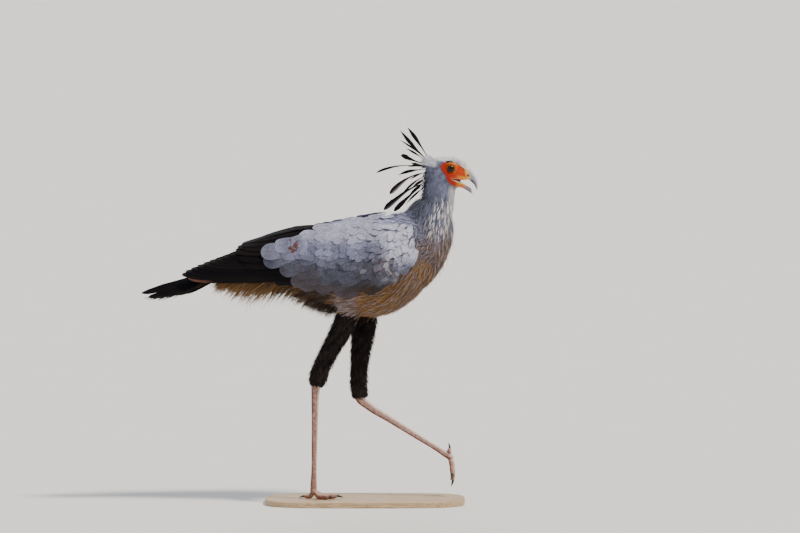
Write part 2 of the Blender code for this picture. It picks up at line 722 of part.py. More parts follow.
def rump_locks(rows, collection, rng):
    """Loose pointed feathers that hang back from under the rump."""
    made = []
    steps = np.array((0.0, 0.4, 0.75, 1.0))
    shape = np.array((0.9, 1.0, 0.66, 0.14))
    for x, count, spread, length, droop in rows:
        for place in np.linspace(-1.0, 1.0, count):
            turn = math.pi + math.radians(spread) * (place + rng.uniform(-0.12, 0.12))
            here, normal = body_frame(TORSO, TORSO_SQUARENESS, x + rng.uniform(-0.006, 0.006), turn)
            back, _ = body_frame(TORSO, TORSO_SQUARENESS, x - 0.02, turn)
            ahead = unit(back - here)
            reach = length * rng.uniform(0.85, 1.15)
            path = here - normal * 0.003 + ahead * (steps * reach)[:, None]
            path += normal * (0.004 * steps)[:, None]
            path[:, 2] -= droop * steps ** 1.6
            along = unit(np.gradient(path, axis=0))
            across = unit(np.cross(np.broadcast_to(normal, along.shape), along))
            thickness = LOCK_THICKNESS * np.array((1.0, 1.0, 0.8, 0.4))
            made.append(vane("lock", path, across, unit(np.cross(along, across)), LOCK_HALF * shape,
                             thickness, collection))
    return made


def crest_vanes(collection):
    """Long feathers narrow at the root and widest towards the blunt tip."""
    made = []
    steps = np.array(CREST_STEPS)
    for index, (x0, z0, x1, z1, sag, half, y0, y1) in enumerate(CREST):
        root, tip = np.array((x0, y0, z0)), np.array((x1, y1, z1))
        length = np.linalg.norm(tip - root)
        path = root + (tip - root) * steps[:, None]
        path[:, 2] += sag * 4 * steps * (1 - steps)
        turn = math.radians((-28, 22, 35, -15, 18, -32)[index % 6])
        ahead = unit(np.gradient(path, axis=0))
        facing = np.array((0.0, -math.cos(turn), math.sin(turn)))
        across = unit(np.cross(ahead, facing))
        normals = np.cross(across, ahead)
        halves = np.array(CREST_SHAPE) * half
        path[0] += unit(root - tip) * min(0.008, length * 0.1)
        made.append(vane("crest", path, across, normals, halves, CREST_THICKNESS, collection))
    return made


def toe_path(length, radius, curl, steps=7):
    """Centres of a toe in its own plane: distance ahead of the joint and height above it."""
    share = np.linspace(0.0, 1.0, steps)
    if curl is None:
        ahead = share * length
        floor = -(TOE_DROP - radius * 0.97)
        height = floor * np.clip(share / 0.38, 0.0, 1.0) ** 0.7
        return ahead, height
    angle = curl * share
    stride = length / (steps - 1)
    ahead = np.concatenate([[0.0], np.cumsum(np.cos(angle[1:]) * stride)])
    height = np.concatenate([[0.0], np.cumsum(-np.sin(angle[1:]) * stride)])
    return ahead, height


def foot(side, joint, forward, up, spread, curl, shin, collection, work):
    """Toes fused at the joint, and a separate claw sunk in the end of each toe."""
    joint, forward, up = np.array(joint), unit(np.array(forward)), unit(np.array(up))
    inward = np.array((0.0, 1.0 if side == "right" else -1.0, 0.0))
    pieces, claws, cutters = [], [], []
    for name, heading, length, radius in TOES:
        turn = math.radians(heading * (spread if name != "hind" else 1.0))
        along = forward * math.cos(turn) + inward * math.sin(turn)
        bend = None if curl is None else (curl if name != "hind" else -curl)
        ahead, height = toe_path(length, radius, bend)
        path = joint + along * ahead[:, None] + up * height[:, None]
        swell = radius * np.array((1.12, 1.0, 1.04, 0.90, 0.95, 0.84, 0.62))
        pieces.append(ring_tube("toe", path, swell, up, 8, work))
        tip_ahead = unit(path[-1] - path[-3])
        reach = np.array((-0.24, 0.1, 0.4, 0.7, 1.0)) * CLAW_LENGTH
        droop = up * (-(np.clip(reach, 0, None) ** 2) / CLAW_LENGTH * 0.30)[:, None]
        claw_path = path[-1] + tip_ahead * reach[:, None] + droop + up * 0.0012
        thick = radius * np.array((0.46, 0.50, 0.42, 0.27, 0.06))
        claws.append((name, ring_tube("claw", claw_path, thick, up, 7, work)))
        cutters.append(ring_tube("claw_cut", claw_path, thick + GAP, up, 7, work))
    ankle = ball("ankle", joint, JOINT_RADIUS, work, 12, 8)
    stub = tube("stub", shin, 3, 12, work)
    combine(ankle, [*pieces, stub], "UNION")
    combine(ankle, cutters, "DIFFERENCE")
    return ankle, claws


def ring_tube(name, path, radii, up, sides, collection):
    """A round tube through points, slightly flattened below, with rings square to it."""
    ahead = unit(np.gradient(path, axis=0))
    angle = np.linspace(0, 2 * math.pi, sides, endpoint=False) + math.pi / sides
    rings = []
    for centre, forward, radius in zip(path, ahead, radii):
        side = unit(np.cross(forward, up))
        top = np.cross(side, forward)
        rings.append(centre + radius * (np.sin(angle)[:, None] * side + np.cos(angle)[:, None] * top))
    return loft(name, rings, collection)


def lid_ring(side, collection):
    """The rim of bare skin around one eye: a flat rolled ring with a slightly pointed front corner."""
    rings = []
    spin = np.linspace(0, 2 * math.pi, 18, endpoint=False)
    roll = np.linspace(0, 2 * math.pi, 5, endpoint=False)
    for turn in spin:
        reach = LID_RADIUS * (1 + 0.06 * max(0.0, math.cos(turn)) ** 4)
        middle = np.array((EYE[0] + reach * math.cos(turn), side * LID_OUT, EYE[2] + reach * math.sin(turn)))
        out = np.array((math.cos(turn), 0.0, math.sin(turn)))
        face = np.array((0.0, side, 0.0))
        rings.append(middle + LID_ROLL * (np.cos(roll)[:, None] * out + np.sin(roll)[:, None] * face))
    verts = np.concatenate(rings)
    faces = []
    for i in range(18):
        for k in range(5):
            a, b = i * 5, (i + 1) % 18 * 5
            faces.append((a + k, b + k, b + (k + 1) % 5, a + (k + 1) % 5))
    return new_object("lid", verts, faces, collection)


def prism(name, outline, width, collection):
    """A prism across the body over an outline of x and z."""
    count = len(outline)
    verts = [(x, side * width, z) for side in (-1, 1) for x, z in outline]
    faces = [tuple(range(count)), tuple(range(count, 2 * count))]
    for k in range(count):
        j = (k + 1) % count
        faces.append((k, j, count + j, count + k))
    return new_object(name, verts, faces, collection)


def build_head(head, work):
    """Crest and lids are fused to the head, then the eyes, the mouth and the bill's seats are cut."""
    lids = [lid_ring(side, work) for side in (-1, 1)]
    combine(head, [*lids, *crest_vanes(work)], "UNION")
    cutters = []
    for side in (-1, 1):
        centre = (EYE[0], EYE[1] * -side, EYE[2])
        cutters.append(ball("socket", centre, EYE_RADIUS + GAP, work, 14, 9))
        path = np.array([(EYE[0], side * out, EYE[2]) for out in (0.0235, 0.0400)])
        widths = np.array((LID_OPENING, LID_OPENING + 0.002))
        cutters.append(loft("opening", [
            centre_ring(path[0], widths[0]), centre_ring(path[1], widths[1])
        ], work))
    cutters.append(prism("mouth", (GAPE_CORNER, GAPE_UPPER, GAPE_LOWER), 0.05, work))
    (x0, z0), (x1, z1) = JAW_SEAT
    back = GAP / 2
    cutters.append(prism("chin", ((x0 - back, z0), (x1 - back, z1), (0.32, z1), (0.32, z0)), 0.05, work))
    combine(head, cutters, "DIFFERENCE")


def build_bill(work):
    """The hooked upper bill with its nostrils, and the lower bill, each behind its own edge of the mouth."""
    upper, lower = (
        tube("bill", [(x, 0.0, z, depth, width) for x, z, depth, width in stations], 12, 12, work)
        for stations in (BILL_UPPER, BILL_LOWER)
    )
    keep_side(upper, BILL_CUT, 1, GAP / 2)
    (x0, z0), (x1, z1) = JAW_SEAT
    keep_side(lower, ((x0, 0.0, z0), (z0 - z1, 0.0, x1 - x0)), 1, GAP / 2)
    mouth = prism("mouth", (GAPE_CORNER, GAPE_UPPER, GAPE_LOWER), 0.05, work)
    combine(lower, [mouth], "DIFFERENCE")
    holes = []
    for side in (-1, 1):
        centre = (NOSTRIL[0], NOSTRIL[1] * side, NOSTRIL[2])
        holes.append(ball("nostril", centre, 1.0, work, 10, 6, NOSTRIL_SIZE))
    combine(upper, holes, "DIFFERENCE")
    return upper, lower


def centre_ring(centre, radius, sides=20):
    angle = np.linspace(0, 2 * math.pi, sides, endpoint=False)
    return centre + radius * np.stack([np.cos(angle), np.zeros(sides), np.sin(angle)], 1)


def display_base(collection):
    """A rounded plate with bevelled edges, flat above and below."""
    angle = np.linspace(0, 2 * math.pi, BASE_SIDES, endpoint=False)
    outline = np.stack([signed_power(np.cos(angle), 0.55), signed_power(np.sin(angle), 0.55)], 1)
    rings = []
    levels = ((0.0, BASE_BEVEL), (BASE_BEVEL, 0.0), (BASE_THICKNESS - BASE_BEVEL, 0.0),
              (BASE_THICKNESS, BASE_BEVEL))
    for height, inset in levels:
        size = np.array((BASE_LENGTH / 2 - inset, BASE_WIDTH / 2 - inset))
        rings.append(np.column_stack([outline * size, np.full(BASE_SIDES, height)]))
    return loft("base", rings, collection)


def main():
    clear_scene()
    bird = make_collection("secretary_bird")
    work = make_collection("work")
    grey = (0.46, 0.48, 0.55)
    black = (0.02, 0.02, 0.025)

    flesh = loft("flesh", upright_rings(TORSO, 19, 24, TORSO_SQUARENESS), work)
    rows = along_curve(NECK, 15)
    neck_path = np.stack([rows[:, 0], np.zeros(15), rows[:, 1]], 1)
    throat = loft("throat", tube_rings(neck_path, rows[:, 2], rows[:, 3], 18), work)
    skull = loft("skull", upright_rings(HEAD, 15, 18, 2.15), work)
    combine(flesh, [throat, skull], "UNION")

    head = keep_side(copy_of(flesh, work), HEAD_CUT, 1, GAP / 2)
    neck = keep_side(copy_of(flesh, work), NECK_CUT, 1, GAP / 2)
    keep_side(neck, HEAD_CUT, -1, GAP / 2)
    rump = keep_side(copy_of(flesh, work), RUMP_CUT, 1, GAP / 2)
    torso = keep_side(keep_side(flesh, NECK_CUT, -1, GAP / 2), RUMP_CUT, -1, GAP / 2)

    keep_side(head, BILL_CUT, -1, GAP / 2)
    build_head(head, work)

    upper, lower = build_bill(work)

    rng = np.random.default_rng(SEED)
    wing = wing_arm(work)
    wing_cut = wing_arm(work, grow=GAP)
    cutters = [wing_cut, mirrored(wing_cut, work)]
    combine(wing, [*flight_vanes(work), *covert_vanes(work, rng)], "UNION")
    combine(torso, rump_locks(RUMP_ROWS, work, rng), "UNION")
    shanks = {}
    thighs = {}
    for side, thigh, shank in (("right", THIGH_RIGHT, SHANK_RIGHT), ("left", THIGH_LEFT, SHANK_LEFT)):
        cutters.append(tube("thigh_cut", thigh, 11, 14, work, GAP))
        thighs[side] = tube("thigh", thigh, 11, 14, work)
        shanks[side] = tube("shank", shank, 14, 12, work)
        combine(thighs[side], [tube("shank_cut", shank, 14, 12, work, GAP)], "DIFFERENCE")
    combine(torso, cutters, "DIFFERENCE")
    combine(rump, [*tail_vanes(work), *rump_locks(UNDERTAIL_ROWS, work, rng)], "UNION")

    finish(torso, "torso", material("mantle_plumage", grey, 0.8), bird)
    finish(neck, "neck", material("neck_plumage", (0.50, 0.50, 0.54), 0.8), bird)
    finish(head, "head", material("head_plumage", (0.50, 0.50, 0.54), 0.8), bird)
    finish(rump, "tail", material("tail_plumage", black, 0.7), bird)
    finish(mirrored(wing, work), "wing_left", material("wing_left_plumage", grey, 0.8), bird)
    finish(wing, "wing_right", material("wing_right_plumage", grey, 0.8), bird)
    finish(upper, "bill_upper", material("bill_upper_horn", (0.50, 0.52, 0.56), 0.3), bird)
    finish(lower, "bill_lower", material("bill_lower_horn", (0.50, 0.52, 0.56), 0.3), bird)
    for side in ("right", "left"):
        finish(thighs[side], f"thigh_{side}", material(f"thigh_{side}_plumage", black, 0.8), bird)
        finish(shanks[side], f"shank_{side}", material(f"shank_{side}_skin", (0.6, 0.38, 0.3), 0.5), bird)
        y = EYE[1] * (1 if side == "right" else -1)
        eye = ball("eye", (EYE[0], y, EYE[2]), EYE_RADIUS, work, 14, 9)
        finish(eye, f"eye_{side}", material(f"eye_{side}_globe", (0.06, 0.03, 0.02), 0.1), bird)

    build_feet(bird, work)
    finish(display_base(work), "stand_base", material("base_wood", (0.62, 0.5, 0.36), 0.5), bird)
    bpy.data.collections.remove(work)


def build_feet(bird, work):
    """The right foot is flat on the base. The left one hangs from its raised shin with its toes together."""
    end_right = np.array(SHANK_RIGHT[-1][:3])
    end_left = np.array(SHANK_LEFT[-1][:3])
    plans = (
        ("right", JOINT_RIGHT, end_right, (1.0, 0.0, 0.0), (0.0, 0.0, 1.0), 1.0, None),
        ("left", JOINT_LEFT, end_left, (0.30, 0.0, -0.95), (0.95, 0.0, 0.30), 0.42, 0.35),
    )
    for side, joint, end, forward, up, spread, curl in plans:
        joint = np.array(joint)
        start = end + unit(joint - end) * GAP
        shin = [(*(start + (joint - start) * t), 0.0087, 0.0079) for t in (0.0, 0.5, 1.0)]
        body, claws = foot(side, joint, forward, up, spread, curl, shin, bird, work)
        finish(body, f"foot_{side}", material(f"foot_{side}_skin", (0.6, 0.38, 0.3), 0.5), bird)
        for name, claw in claws:
            look = material(f"claw_{side}_{name}_horn", (0.1, 0.09, 0.08), 0.35)
            finish(claw, f"claw_{side}_{name}", look, bird)


main()
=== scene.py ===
"""Looks of the life-size secretary bird: bare skin, horn, feathers and the display base under it.

Metres, +Z up. The bird faces +X and its left side is +Y. The origin is the centre of the base's underside.
"""
import math

import bmesh
import bpy
import numpy as np
from mathutils import Matrix, Vector
from mathutils.bvhtree import BVHTree


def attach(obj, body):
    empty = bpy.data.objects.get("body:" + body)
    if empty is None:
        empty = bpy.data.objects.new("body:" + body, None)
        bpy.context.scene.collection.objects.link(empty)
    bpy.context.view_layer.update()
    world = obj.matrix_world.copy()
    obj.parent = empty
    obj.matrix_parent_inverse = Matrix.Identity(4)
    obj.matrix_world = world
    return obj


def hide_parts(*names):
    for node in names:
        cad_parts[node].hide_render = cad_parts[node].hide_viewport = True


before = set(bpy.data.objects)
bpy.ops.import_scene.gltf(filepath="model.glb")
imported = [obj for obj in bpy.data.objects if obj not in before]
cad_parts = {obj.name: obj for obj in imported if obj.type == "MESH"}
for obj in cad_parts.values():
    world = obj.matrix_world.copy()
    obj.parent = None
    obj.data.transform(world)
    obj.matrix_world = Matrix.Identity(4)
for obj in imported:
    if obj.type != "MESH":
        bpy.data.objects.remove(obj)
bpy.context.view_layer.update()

TAU = 2 * math.pi

# Display base.
BASE_LENGTH = 0.58
BASE_WIDTH = 0.27
BASE_THICKNESS = 0.016
BASE_EDGE = 0.003
SOLE_Z = BASE_THICKNESS + 0.0003

# Torso stations along X: x, top z, bottom z, half width, with the coat on it.
TORSO = (
    (0.2117, 0.7036, 0.6746, 0.012),
    (0.1972, 0.7400, 0.6543, 0.038),
    (0.1740, 0.7860, 0.6340, 0.058),
    (0.1421, 0.8340, 0.5963, 0.074),
    (0.1015, 0.8455, 0.5673, 0.084),
    (0.0580, 0.8370, 0.5499, 0.089),
    (0.0087, 0.8320, 0.5456, 0.090),
    (-0.0435, 0.8280, 0.5560, 0.087),
    (-0.1015, 0.8190, 0.5740, 0.080),
    (-0.1595, 0.8010, 0.5980, 0.070),
    (-0.2117, 0.7820, 0.6253, 0.058),
    (-0.2581, 0.7600, 0.6485, 0.043),
    (-0.2987, 0.7384, 0.6688, 0.028),
    (-0.3350, 0.7190, 0.6830, 0.012),
)
TORSO_SQUARENESS = 2.25

# Neck from the throat down into the breast: x, z, half depth in the side view, half width.
NECK = (
    (0.2185, 0.9500, 0.0400, 0.0270),
    (0.2165, 0.9250, 0.0450, 0.0285),
    (0.2146, 0.9050, 0.0462, 0.0295),
    (0.2117, 0.8776, 0.0475, 0.0310),
    (0.1943, 0.8428, 0.0675, 0.0400),
    (0.1796, 0.8004, 0.0788, 0.0510),
    (0.1653, 0.7529, 0.0800, 0.0620),
    (0.1363, 0.7152, 0.0880, 0.0720),
    (0.1015, 0.6862, 0.0900, 0.0760),
)
NECK_CUT = ((0.1360, 0.0, 0.8630), (0.819, 0.0, 0.573))
HEAD_CUT = ((0.2185, 0.0, 0.8950), (0.307, 0.0, 0.952))

# Head stations along X: x, top z, bottom z, half width. The face narrows into the bill's root.
HEAD = (
    (0.1754, 0.9791, 0.9414, 0.0090),
    (0.1812, 0.9907, 0.9270, 0.0170),
    (0.1943, 1.0014, 0.9150, 0.0245),
    (0.2088, 1.0072, 0.9095, 0.0285),
    (0.2262, 1.0101, 0.9081, 0.0300),
    (0.2436, 1.0104, 0.9124, 0.0288),
    (0.2581, 1.0085, 0.9162, 0.0256),
    (0.2726, 1.0035, 0.9188, 0.0204),
    (0.2842, 0.9950, 0.9205, 0.0146),
    (0.2950, 0.9855, 0.9225, 0.0098),
)
HEAD_SQUARENESS = 2.15

EYE = (0.2488, 0.0165, 0.9756)
EYE_RADIUS = 0.0135
LID_OPENING = 0.0104

# The mouth is held a little open: its corner, and two points forwards on the upper and the lower edge.
GAPE_CORNER = (0.2424, 0.9500)
GAPE_UPPER = (0.3300, 0.9372)
GAPE_LOWER = (0.3300, 0.9085)

# Upper bill from its root in the face to the hooked tip: x, z, half depth, half width.
BILL_UPPER = (
    (0.2740, 0.9690, 0.0190, 0.0120),
    (0.2860, 0.9655, 0.0195, 0.0118),
    (0.2960, 0.9605, 0.0180, 0.0110),
    (0.3050, 0.9540, 0.0138, 0.0094),
    (0.3125, 0.9460, 0.0105, 0.0074),
    (0.3185, 0.9375, 0.0078, 0.0054),
    (0.3222, 0.9290, 0.0052, 0.0038),
    (0.3238, 0.9205, 0.0034, 0.0024),
    (0.3236, 0.9140, 0.0010, 0.0009),
)
BILL_LOWER = (
    (0.2660, 0.9310, 0.0075, 0.0120),
    (0.2800, 0.9270, 0.0072, 0.0108),
    (0.2900, 0.9225, 0.0068, 0.0092),
    (0.3000, 0.9162, 0.0062, 0.0072),
    (0.3080, 0.9092, 0.0050, 0.0052),
    (0.3128, 0.9032, 0.0034, 0.0034),
    (0.3152, 0.8990, 0.0012, 0.0016),
)
NOSTRIL = (0.2985, 0.0108, 0.9560)
NOSTRIL_SIZE = (0.0040, 0.0040, 0.0016)

# Outline of the bare orange face in the side view: x, z.
BARE_FACE = (
    (0.2180, 0.9818), (0.2235, 0.9905), (0.2320, 0.9945), (0.2430, 0.9950), (0.2550, 0.9940),
    (0.2665, 0.9905), (0.2765, 0.9845), (0.2845, 0.9775), (0.2920, 0.9700), (0.3100, 0.9640),
    (0.3100, 0.9200), (0.2903, 0.9150), (0.2740, 0.9195), (0.2620, 0.9235), (0.2500, 0.9300),
    (0.2410, 0.9385), (0.2362, 0.9480), (0.2345, 0.9550), (0.2300, 0.9620), (0.2235, 0.9700),
)

# Crest feathers from the nape: root x, z; tip x, z; the sag of the shaft; the widest half width;
# the root's and the tip's distance to the left of the middle.
CREST = (
    (0.1860, 1.0000, 0.1232, 1.0944, 0.004, 0.0056, 0.004, 0.010),
    (0.1850, 0.9960, 0.1018, 1.0872, -0.004, 0.0054, -0.004, -0.012),
    (0.1845, 0.9925, 0.1008, 1.0560, 0.006, 0.0034, 0.008, 0.030),
    (0.1840, 0.9880, 0.1045, 1.0170, -0.004, 0.0078, -0.007, -0.026),
    (0.1835, 0.9825, 0.1330, 0.9940, -0.002, 0.0058, -0.010, -0.038),
    (0.1835, 0.9760, 0.0325, 0.9635, 0.014, 0.0062, -0.004, -0.006),
    (0.1835, 0.9700, 0.0960, 0.9545, 0.006, 0.0046, 0.008, 0.034),
    (0.1845, 0.9620, 0.0715, 0.9030, 0.018, 0.0072, -0.012, -0.030),
    (0.1855, 0.9560, 0.1020, 0.8930, 0.010, 0.0050, 0.011, 0.040),
    (0.1865, 0.9480, 0.0545, 0.8560, 0.008, 0.0088, -0.013, -0.022),
    (0.1875, 0.9420, 0.0840, 0.8540, 0.006, 0.0074, -0.014, -0.044),
    (0.1880, 0.9360, 0.0700, 0.8700, 0.010, 0.0050, 0.014, 0.026),
    # Shorter ones between them, which only the finished bird has.
    (0.1850, 0.9900, 0.1180, 1.0330, 0.003, 0.0030, 0.010, 0.022),
    (0.1840, 0.9790, 0.1240, 0.9790, 0.004, 0.0034, 0.011, 0.030),
    (0.1850, 0.9660, 0.1290, 0.9440, 0.005, 0.0034, -0.009, -0.024),
    (0.1870, 0.9520, 0.1330, 0.9140, 0.006, 0.0040, -0.006, -0.012),
    (0.1880, 0.9450, 0.1220, 0.8880, 0.006, 0.0044, 0.006, 0.012),
    (0.1890, 0.9330, 0.1170, 0.8720, 0.005, 0.0046, -0.010, -0.030),
)

# Feathered thighs from inside the belly to the hock: x, y, z, half depth, half width.
THIGH_RIGHT = (
    (-0.0290, -0.040, 0.6100, 0.0330, 0.0210),
    (-0.0430, -0.044, 0.5720, 0.0350, 0.0250),
    (-0.0600, -0.045, 0.5290, 0.0320, 0.0250),
    (-0.0820, -0.044, 0.4850, 0.0285, 0.0225),
    (-0.1060, -0.043, 0.4400, 0.0262, 0.0205),
    (-0.1270, -0.042, 0.3980, 0.0255, 0.0190),
    (-0.1370, -0.042, 0.3640, 0.0250, 0.0185),
    (-0.1395, -0.042, 0.3480, 0.0200, 0.0160),
)
THIGH_LEFT = (
    (0.0090, 0.040, 0.6030, 0.0330, 0.0210),
    (0.0020, 0.045, 0.5650, 0.0370, 0.0250),
    (-0.0030, 0.047, 0.5250, 0.0370, 0.0250),
    (-0.0080, 0.047, 0.4750, 0.0320, 0.0225),
    (-0.0140, 0.046, 0.4270, 0.0270, 0.0205),
    (-0.0180, 0.045, 0.3800, 0.0240, 0.0190),
    (-0.0180, 0.045, 0.3350, 0.0245, 0.0185),
    (-0.0150, 0.045, 0.3060, 0.0215, 0.0165),
)

# Bare shanks from inside the hock's feathers to the toe joint: x, y, z, half depth, half width.
SHANK_RIGHT = (
    (-0.1400, -0.0420, 0.3780, 0.0080, 0.0080),
    (-0.1425, -0.0418, 0.3480, 0.0118, 0.0100),
    (-0.1440, -0.0410, 0.3220, 0.0106, 0.0090),
    (-0.1452, -0.0390, 0.2500, 0.0088, 0.0072),
    (-0.1468, -0.0360, 0.1700, 0.0078, 0.0064),
    (-0.1482, -0.0325, 0.0900, 0.0074, 0.0064),
    (-0.1492, -0.0305, 0.0580, 0.0088, 0.0080),
    (-0.1495, -0.0300, 0.0440, 0.0098, 0.0092),
)
SHANK_LEFT = (
    (-0.0250, 0.0450, 0.3330, 0.0080, 0.0080),
    (-0.0180, 0.0450, 0.3040, 0.0118, 0.0100),
    (0.0080, 0.0443, 0.2810, 0.0108, 0.0092),
    (0.0750, 0.0410, 0.2390, 0.0090, 0.0074),
    (0.1450, 0.0365, 0.1955, 0.0078, 0.0064),
    (0.2080, 0.0325, 0.1570, 0.0073, 0.0063),
    (0.2330, 0.0310, 0.1412, 0.0086, 0.0078),
    (0.2450, 0.0304, 0.1336, 0.0096, 0.0090),
)
JOINT_RIGHT = (-0.1495, -0.0300, 0.0410)
JOINT_LEFT = (0.2475, 0.0303, 0.1322)
TOE_DROP = JOINT_RIGHT[2] - SOLE_Z
# Toes: name, heading from straight ahead in degrees (towards the midline is positive), length, radius.
TOES = (
    ("middle", 0.0, 0.068, 0.0078),
    ("inner", 30.0, 0.050, 0.0072),
    ("outer", -30.0, 0.052, 0.0072),
    ("hind", 172.0, 0.026, 0.0064),
)
CLAW_LENGTH = 0.018

# Wing guide, the closed fan of both folded wings: x, top z, bottom z, half width.
WING_GUIDE = (
    (0.1650, 0.8420, 0.5900, 0.0670),
    (0.1305, 0.8480, 0.5780, 0.0790),
    (0.1015, 0.8440, 0.5650, 0.0860),
    (0.0580, 0.8400, 0.5470, 0.0905),
    (0.0087, 0.8350, 0.5430, 0.0915),
    (-0.0435, 0.8310, 0.5530, 0.0890),
    (-0.1015, 0.8220, 0.5710, 0.0830),
    (-0.1595, 0.8060, 0.5960, 0.0750),
    (-0.2117, 0.7940, 0.6130, 0.0680),
    (-0.2581, 0.7800, 0.6230, 0.0630),
    (-0.2987, 0.7650, 0.6300, 0.0590),
    (-0.3625, 0.7450, 0.6340, 0.0550),
    (-0.4350, 0.7160, 0.6280, 0.0490),
    (-0.5000, 0.6890, 0.6060, 0.0410),
    (-0.5650, 0.6550, 0.5850, 0.0330),
)
GUIDE_SQUARENESS = 2.2

# Arm of the folded wing on the guide: x, upper z, lower z, thickness.
WING_ARM = (
    (0.1530, 0.8130, 0.7900, 0.0040),
    (0.1430, 0.8240, 0.7480, 0.0100),
    (0.1300, 0.8290, 0.7230, 0.0130),
    (0.1015, 0.8320, 0.6820, 0.0150),
    (0.0580, 0.8300, 0.6560, 0.0150),
    (0.0087, 0.8260, 0.6400, 0.0145),
    (-0.0435, 0.8210, 0.6290, 0.0135),
    (-0.1015, 0.8120, 0.6350, 0.0130),
    (-0.1595, 0.7960, 0.6470, 0.0125),
    (-0.2000, 0.7820, 0.6560, 0.0120),
    (-0.2350, 0.7650, 0.6820, 0.0115),
    (-0.2700, 0.7440, 0.7080, 0.0105),
)

# Edge of the grey coverts, from the wrist along the lower edge to the rear and up to the back: x, z.
COVERT_EDGE = (
    (0.1480, 0.7620),
    (0.1380, 0.7300),
    (0.1180, 0.6950),
    (0.0920, 0.6640),
    (0.0580, 0.6440),
    (0.0116, 0.6270),
    (-0.0377, 0.6145),
    (-0.1044, 0.6230),
    (-0.1566, 0.6340),
    (-0.2050, 0.6480),
    (-0.2360, 0.6740),
    (-0.2800, 0.6980),
    (-0.3020, 0.7270),
    (-0.2850, 0.7410),
    (-0.2400, 0.7490),
    (-0.2080, 0.7580),
    (-0.1880, 0.7740),
)

PRIMARY_TIPS = (
    (-0.392, 0.722), (-0.412, 0.715), (-0.432, 0.709), (-0.450, 0.703), (-0.468, 0.697),
    (-0.486, 0.690), (-0.503, 0.683), (-0.519, 0.676), (-0.530, 0.668), (-0.514, 0.661),
)
PRIMARY_ROOTS = ((-0.215, 0.736), (-0.185, 0.666))
PRIMARY_LIFTS = (0.0048, 0.0012)
SECONDARY_TIPS = (
    (-0.346, 0.745), (-0.366, 0.740), (-0.374, 0.730), (-0.364, 0.716), (-0.346, 0.699),
    (-0.322, 0.684), (-0.294, 0.670), (-0.262, 0.656),
)
SECONDARY_ROOTS = ((-0.205, 0.768), (-0.170, 0.668))
SECONDARY_LIFTS = (0.0102, 0.0068)
TERTIAL_TIPS = ((-0.334, 0.7530), (-0.352, 0.7490), (-0.356, 0.7440), (-0.350, 0.7390))
TERTIAL_ROOTS = ((-0.130, 0.8080), (-0.150, 0.7780))
TERTIAL_LIFTS = (0.0126, 0.0110)

# Closed tail as a roof: x, ridge z, edge z, half width.
TAIL = (
    (-0.2540, 0.7190, 0.6960, 0.0200),
    (-0.3000, 0.7120, 0.6900, 0.0250),
    (-0.3900, 0.6900, 0.6630, 0.0310),
    (-0.4400, 0.6780, 0.6490, 0.0350),
    (-0.4840, 0.6660, 0.6270, 0.0400),
    (-0.5480, 0.6500, 0.6060, 0.0390),
    (-0.5900, 0.6380, 0.6000, 0.0300),
    (-0.6290, 0.6230, 0.6010, 0.0180),
    (-0.6490, 0.6150, 0.6090, 0.0080),
)
# Tail feathers of one side from the middle outwards: tip x, share of the roof's half width at the tip.
TAIL_FEATHERS = (
    (-0.6490, 0.75), (-0.6270, 0.80), (-0.6050, 0.78), (-0.5650, 0.78), (-0.5420, 0.84), (-0.5180, 0.88),
)


def linear(code):
    """Linear colour from an sRGB hex code."""
    values = [int(code[i:i + 2], 16) / 255 for i in (1, 3, 5)]
    return np.array([v / 12.92 if v <= 0.04045 else ((v + 0.055) / 1.055) ** 2.4 for v in values])


def rgba(code):
    return (*linear(code), 1.0)


# ---------------------------------------------------------------- curves and surfaces

def unit(vector):
    return vector / np.maximum(np.linalg.norm(vector, axis=-1, keepdims=True), 1e-12)


def ramp(value, low, high):
    """Smooth step from 0 at low to 1 at high."""
    t = np.clip((value - low) / (high - low), 0.0, 1.0)
    return t * t * (3 - 2 * t)


def signed_power(value, power):
    return np.sign(value) * np.abs(value) ** power


def hermite(at, rows, slopes, wanted):
    index = np.clip(np.searchsorted(at, wanted, side="right") - 1, 0, len(at) - 2)
    span = (at[index + 1] - at[index])[:, None]
    t = (wanted - at[index])[:, None] / span
    return (
        rows[index] * (1 + 2 * t) * (1 - t) ** 2
        + slopes[index] * t * (1 - t) ** 2 * span
        + rows[index + 1] * t * t * (3 - 2 * t)
        + slopes[index + 1] * t * t * (t - 1) * span
    )


def along_curve(rows, wanted):
    """Rows along the curve, whose length is measured in the first two columns, by count or by shares."""
    rows = np.array(rows, float)
    shares = np.linspace(0.0, 1.0, wanted) if isinstance(wanted, int) else np.asarray(wanted, float)
    steps = np.linalg.norm(np.diff(rows[:, :2], axis=0), axis=1)
    at = np.concatenate([[0.0], np.cumsum(steps)])
    return hermite(at, rows, np.gradient(rows, at, axis=0), shares * at[-1])


def stations_at(rows, x):
    """The other columns of a table of stations at the places x along it."""
    rows = np.array(sorted(rows), float)
    x = np.clip(np.atleast_1d(np.asarray(x, float)), rows[0, 0], rows[-1, 0])
    return hermite(rows[:, 0], rows, np.gradient(rows, rows[:, 0], axis=0), x)[:, 1:]


def upright_rings(stations, count, sides, squareness):
    angle = np.linspace(0, TAU, sides, endpoint=False)
    across = signed_power(np.sin(angle), 2 / squareness)
    upward = signed_power(np.cos(angle), 2 / squareness)
    rings = []
    for x, top, bottom, half in along_curve(stations, count):
        ring = [np.full(sides, x), across * half, (top + bottom) / 2 + upward * (top - bottom) / 2]
        rings.append(np.stack(ring, 1))
    return rings


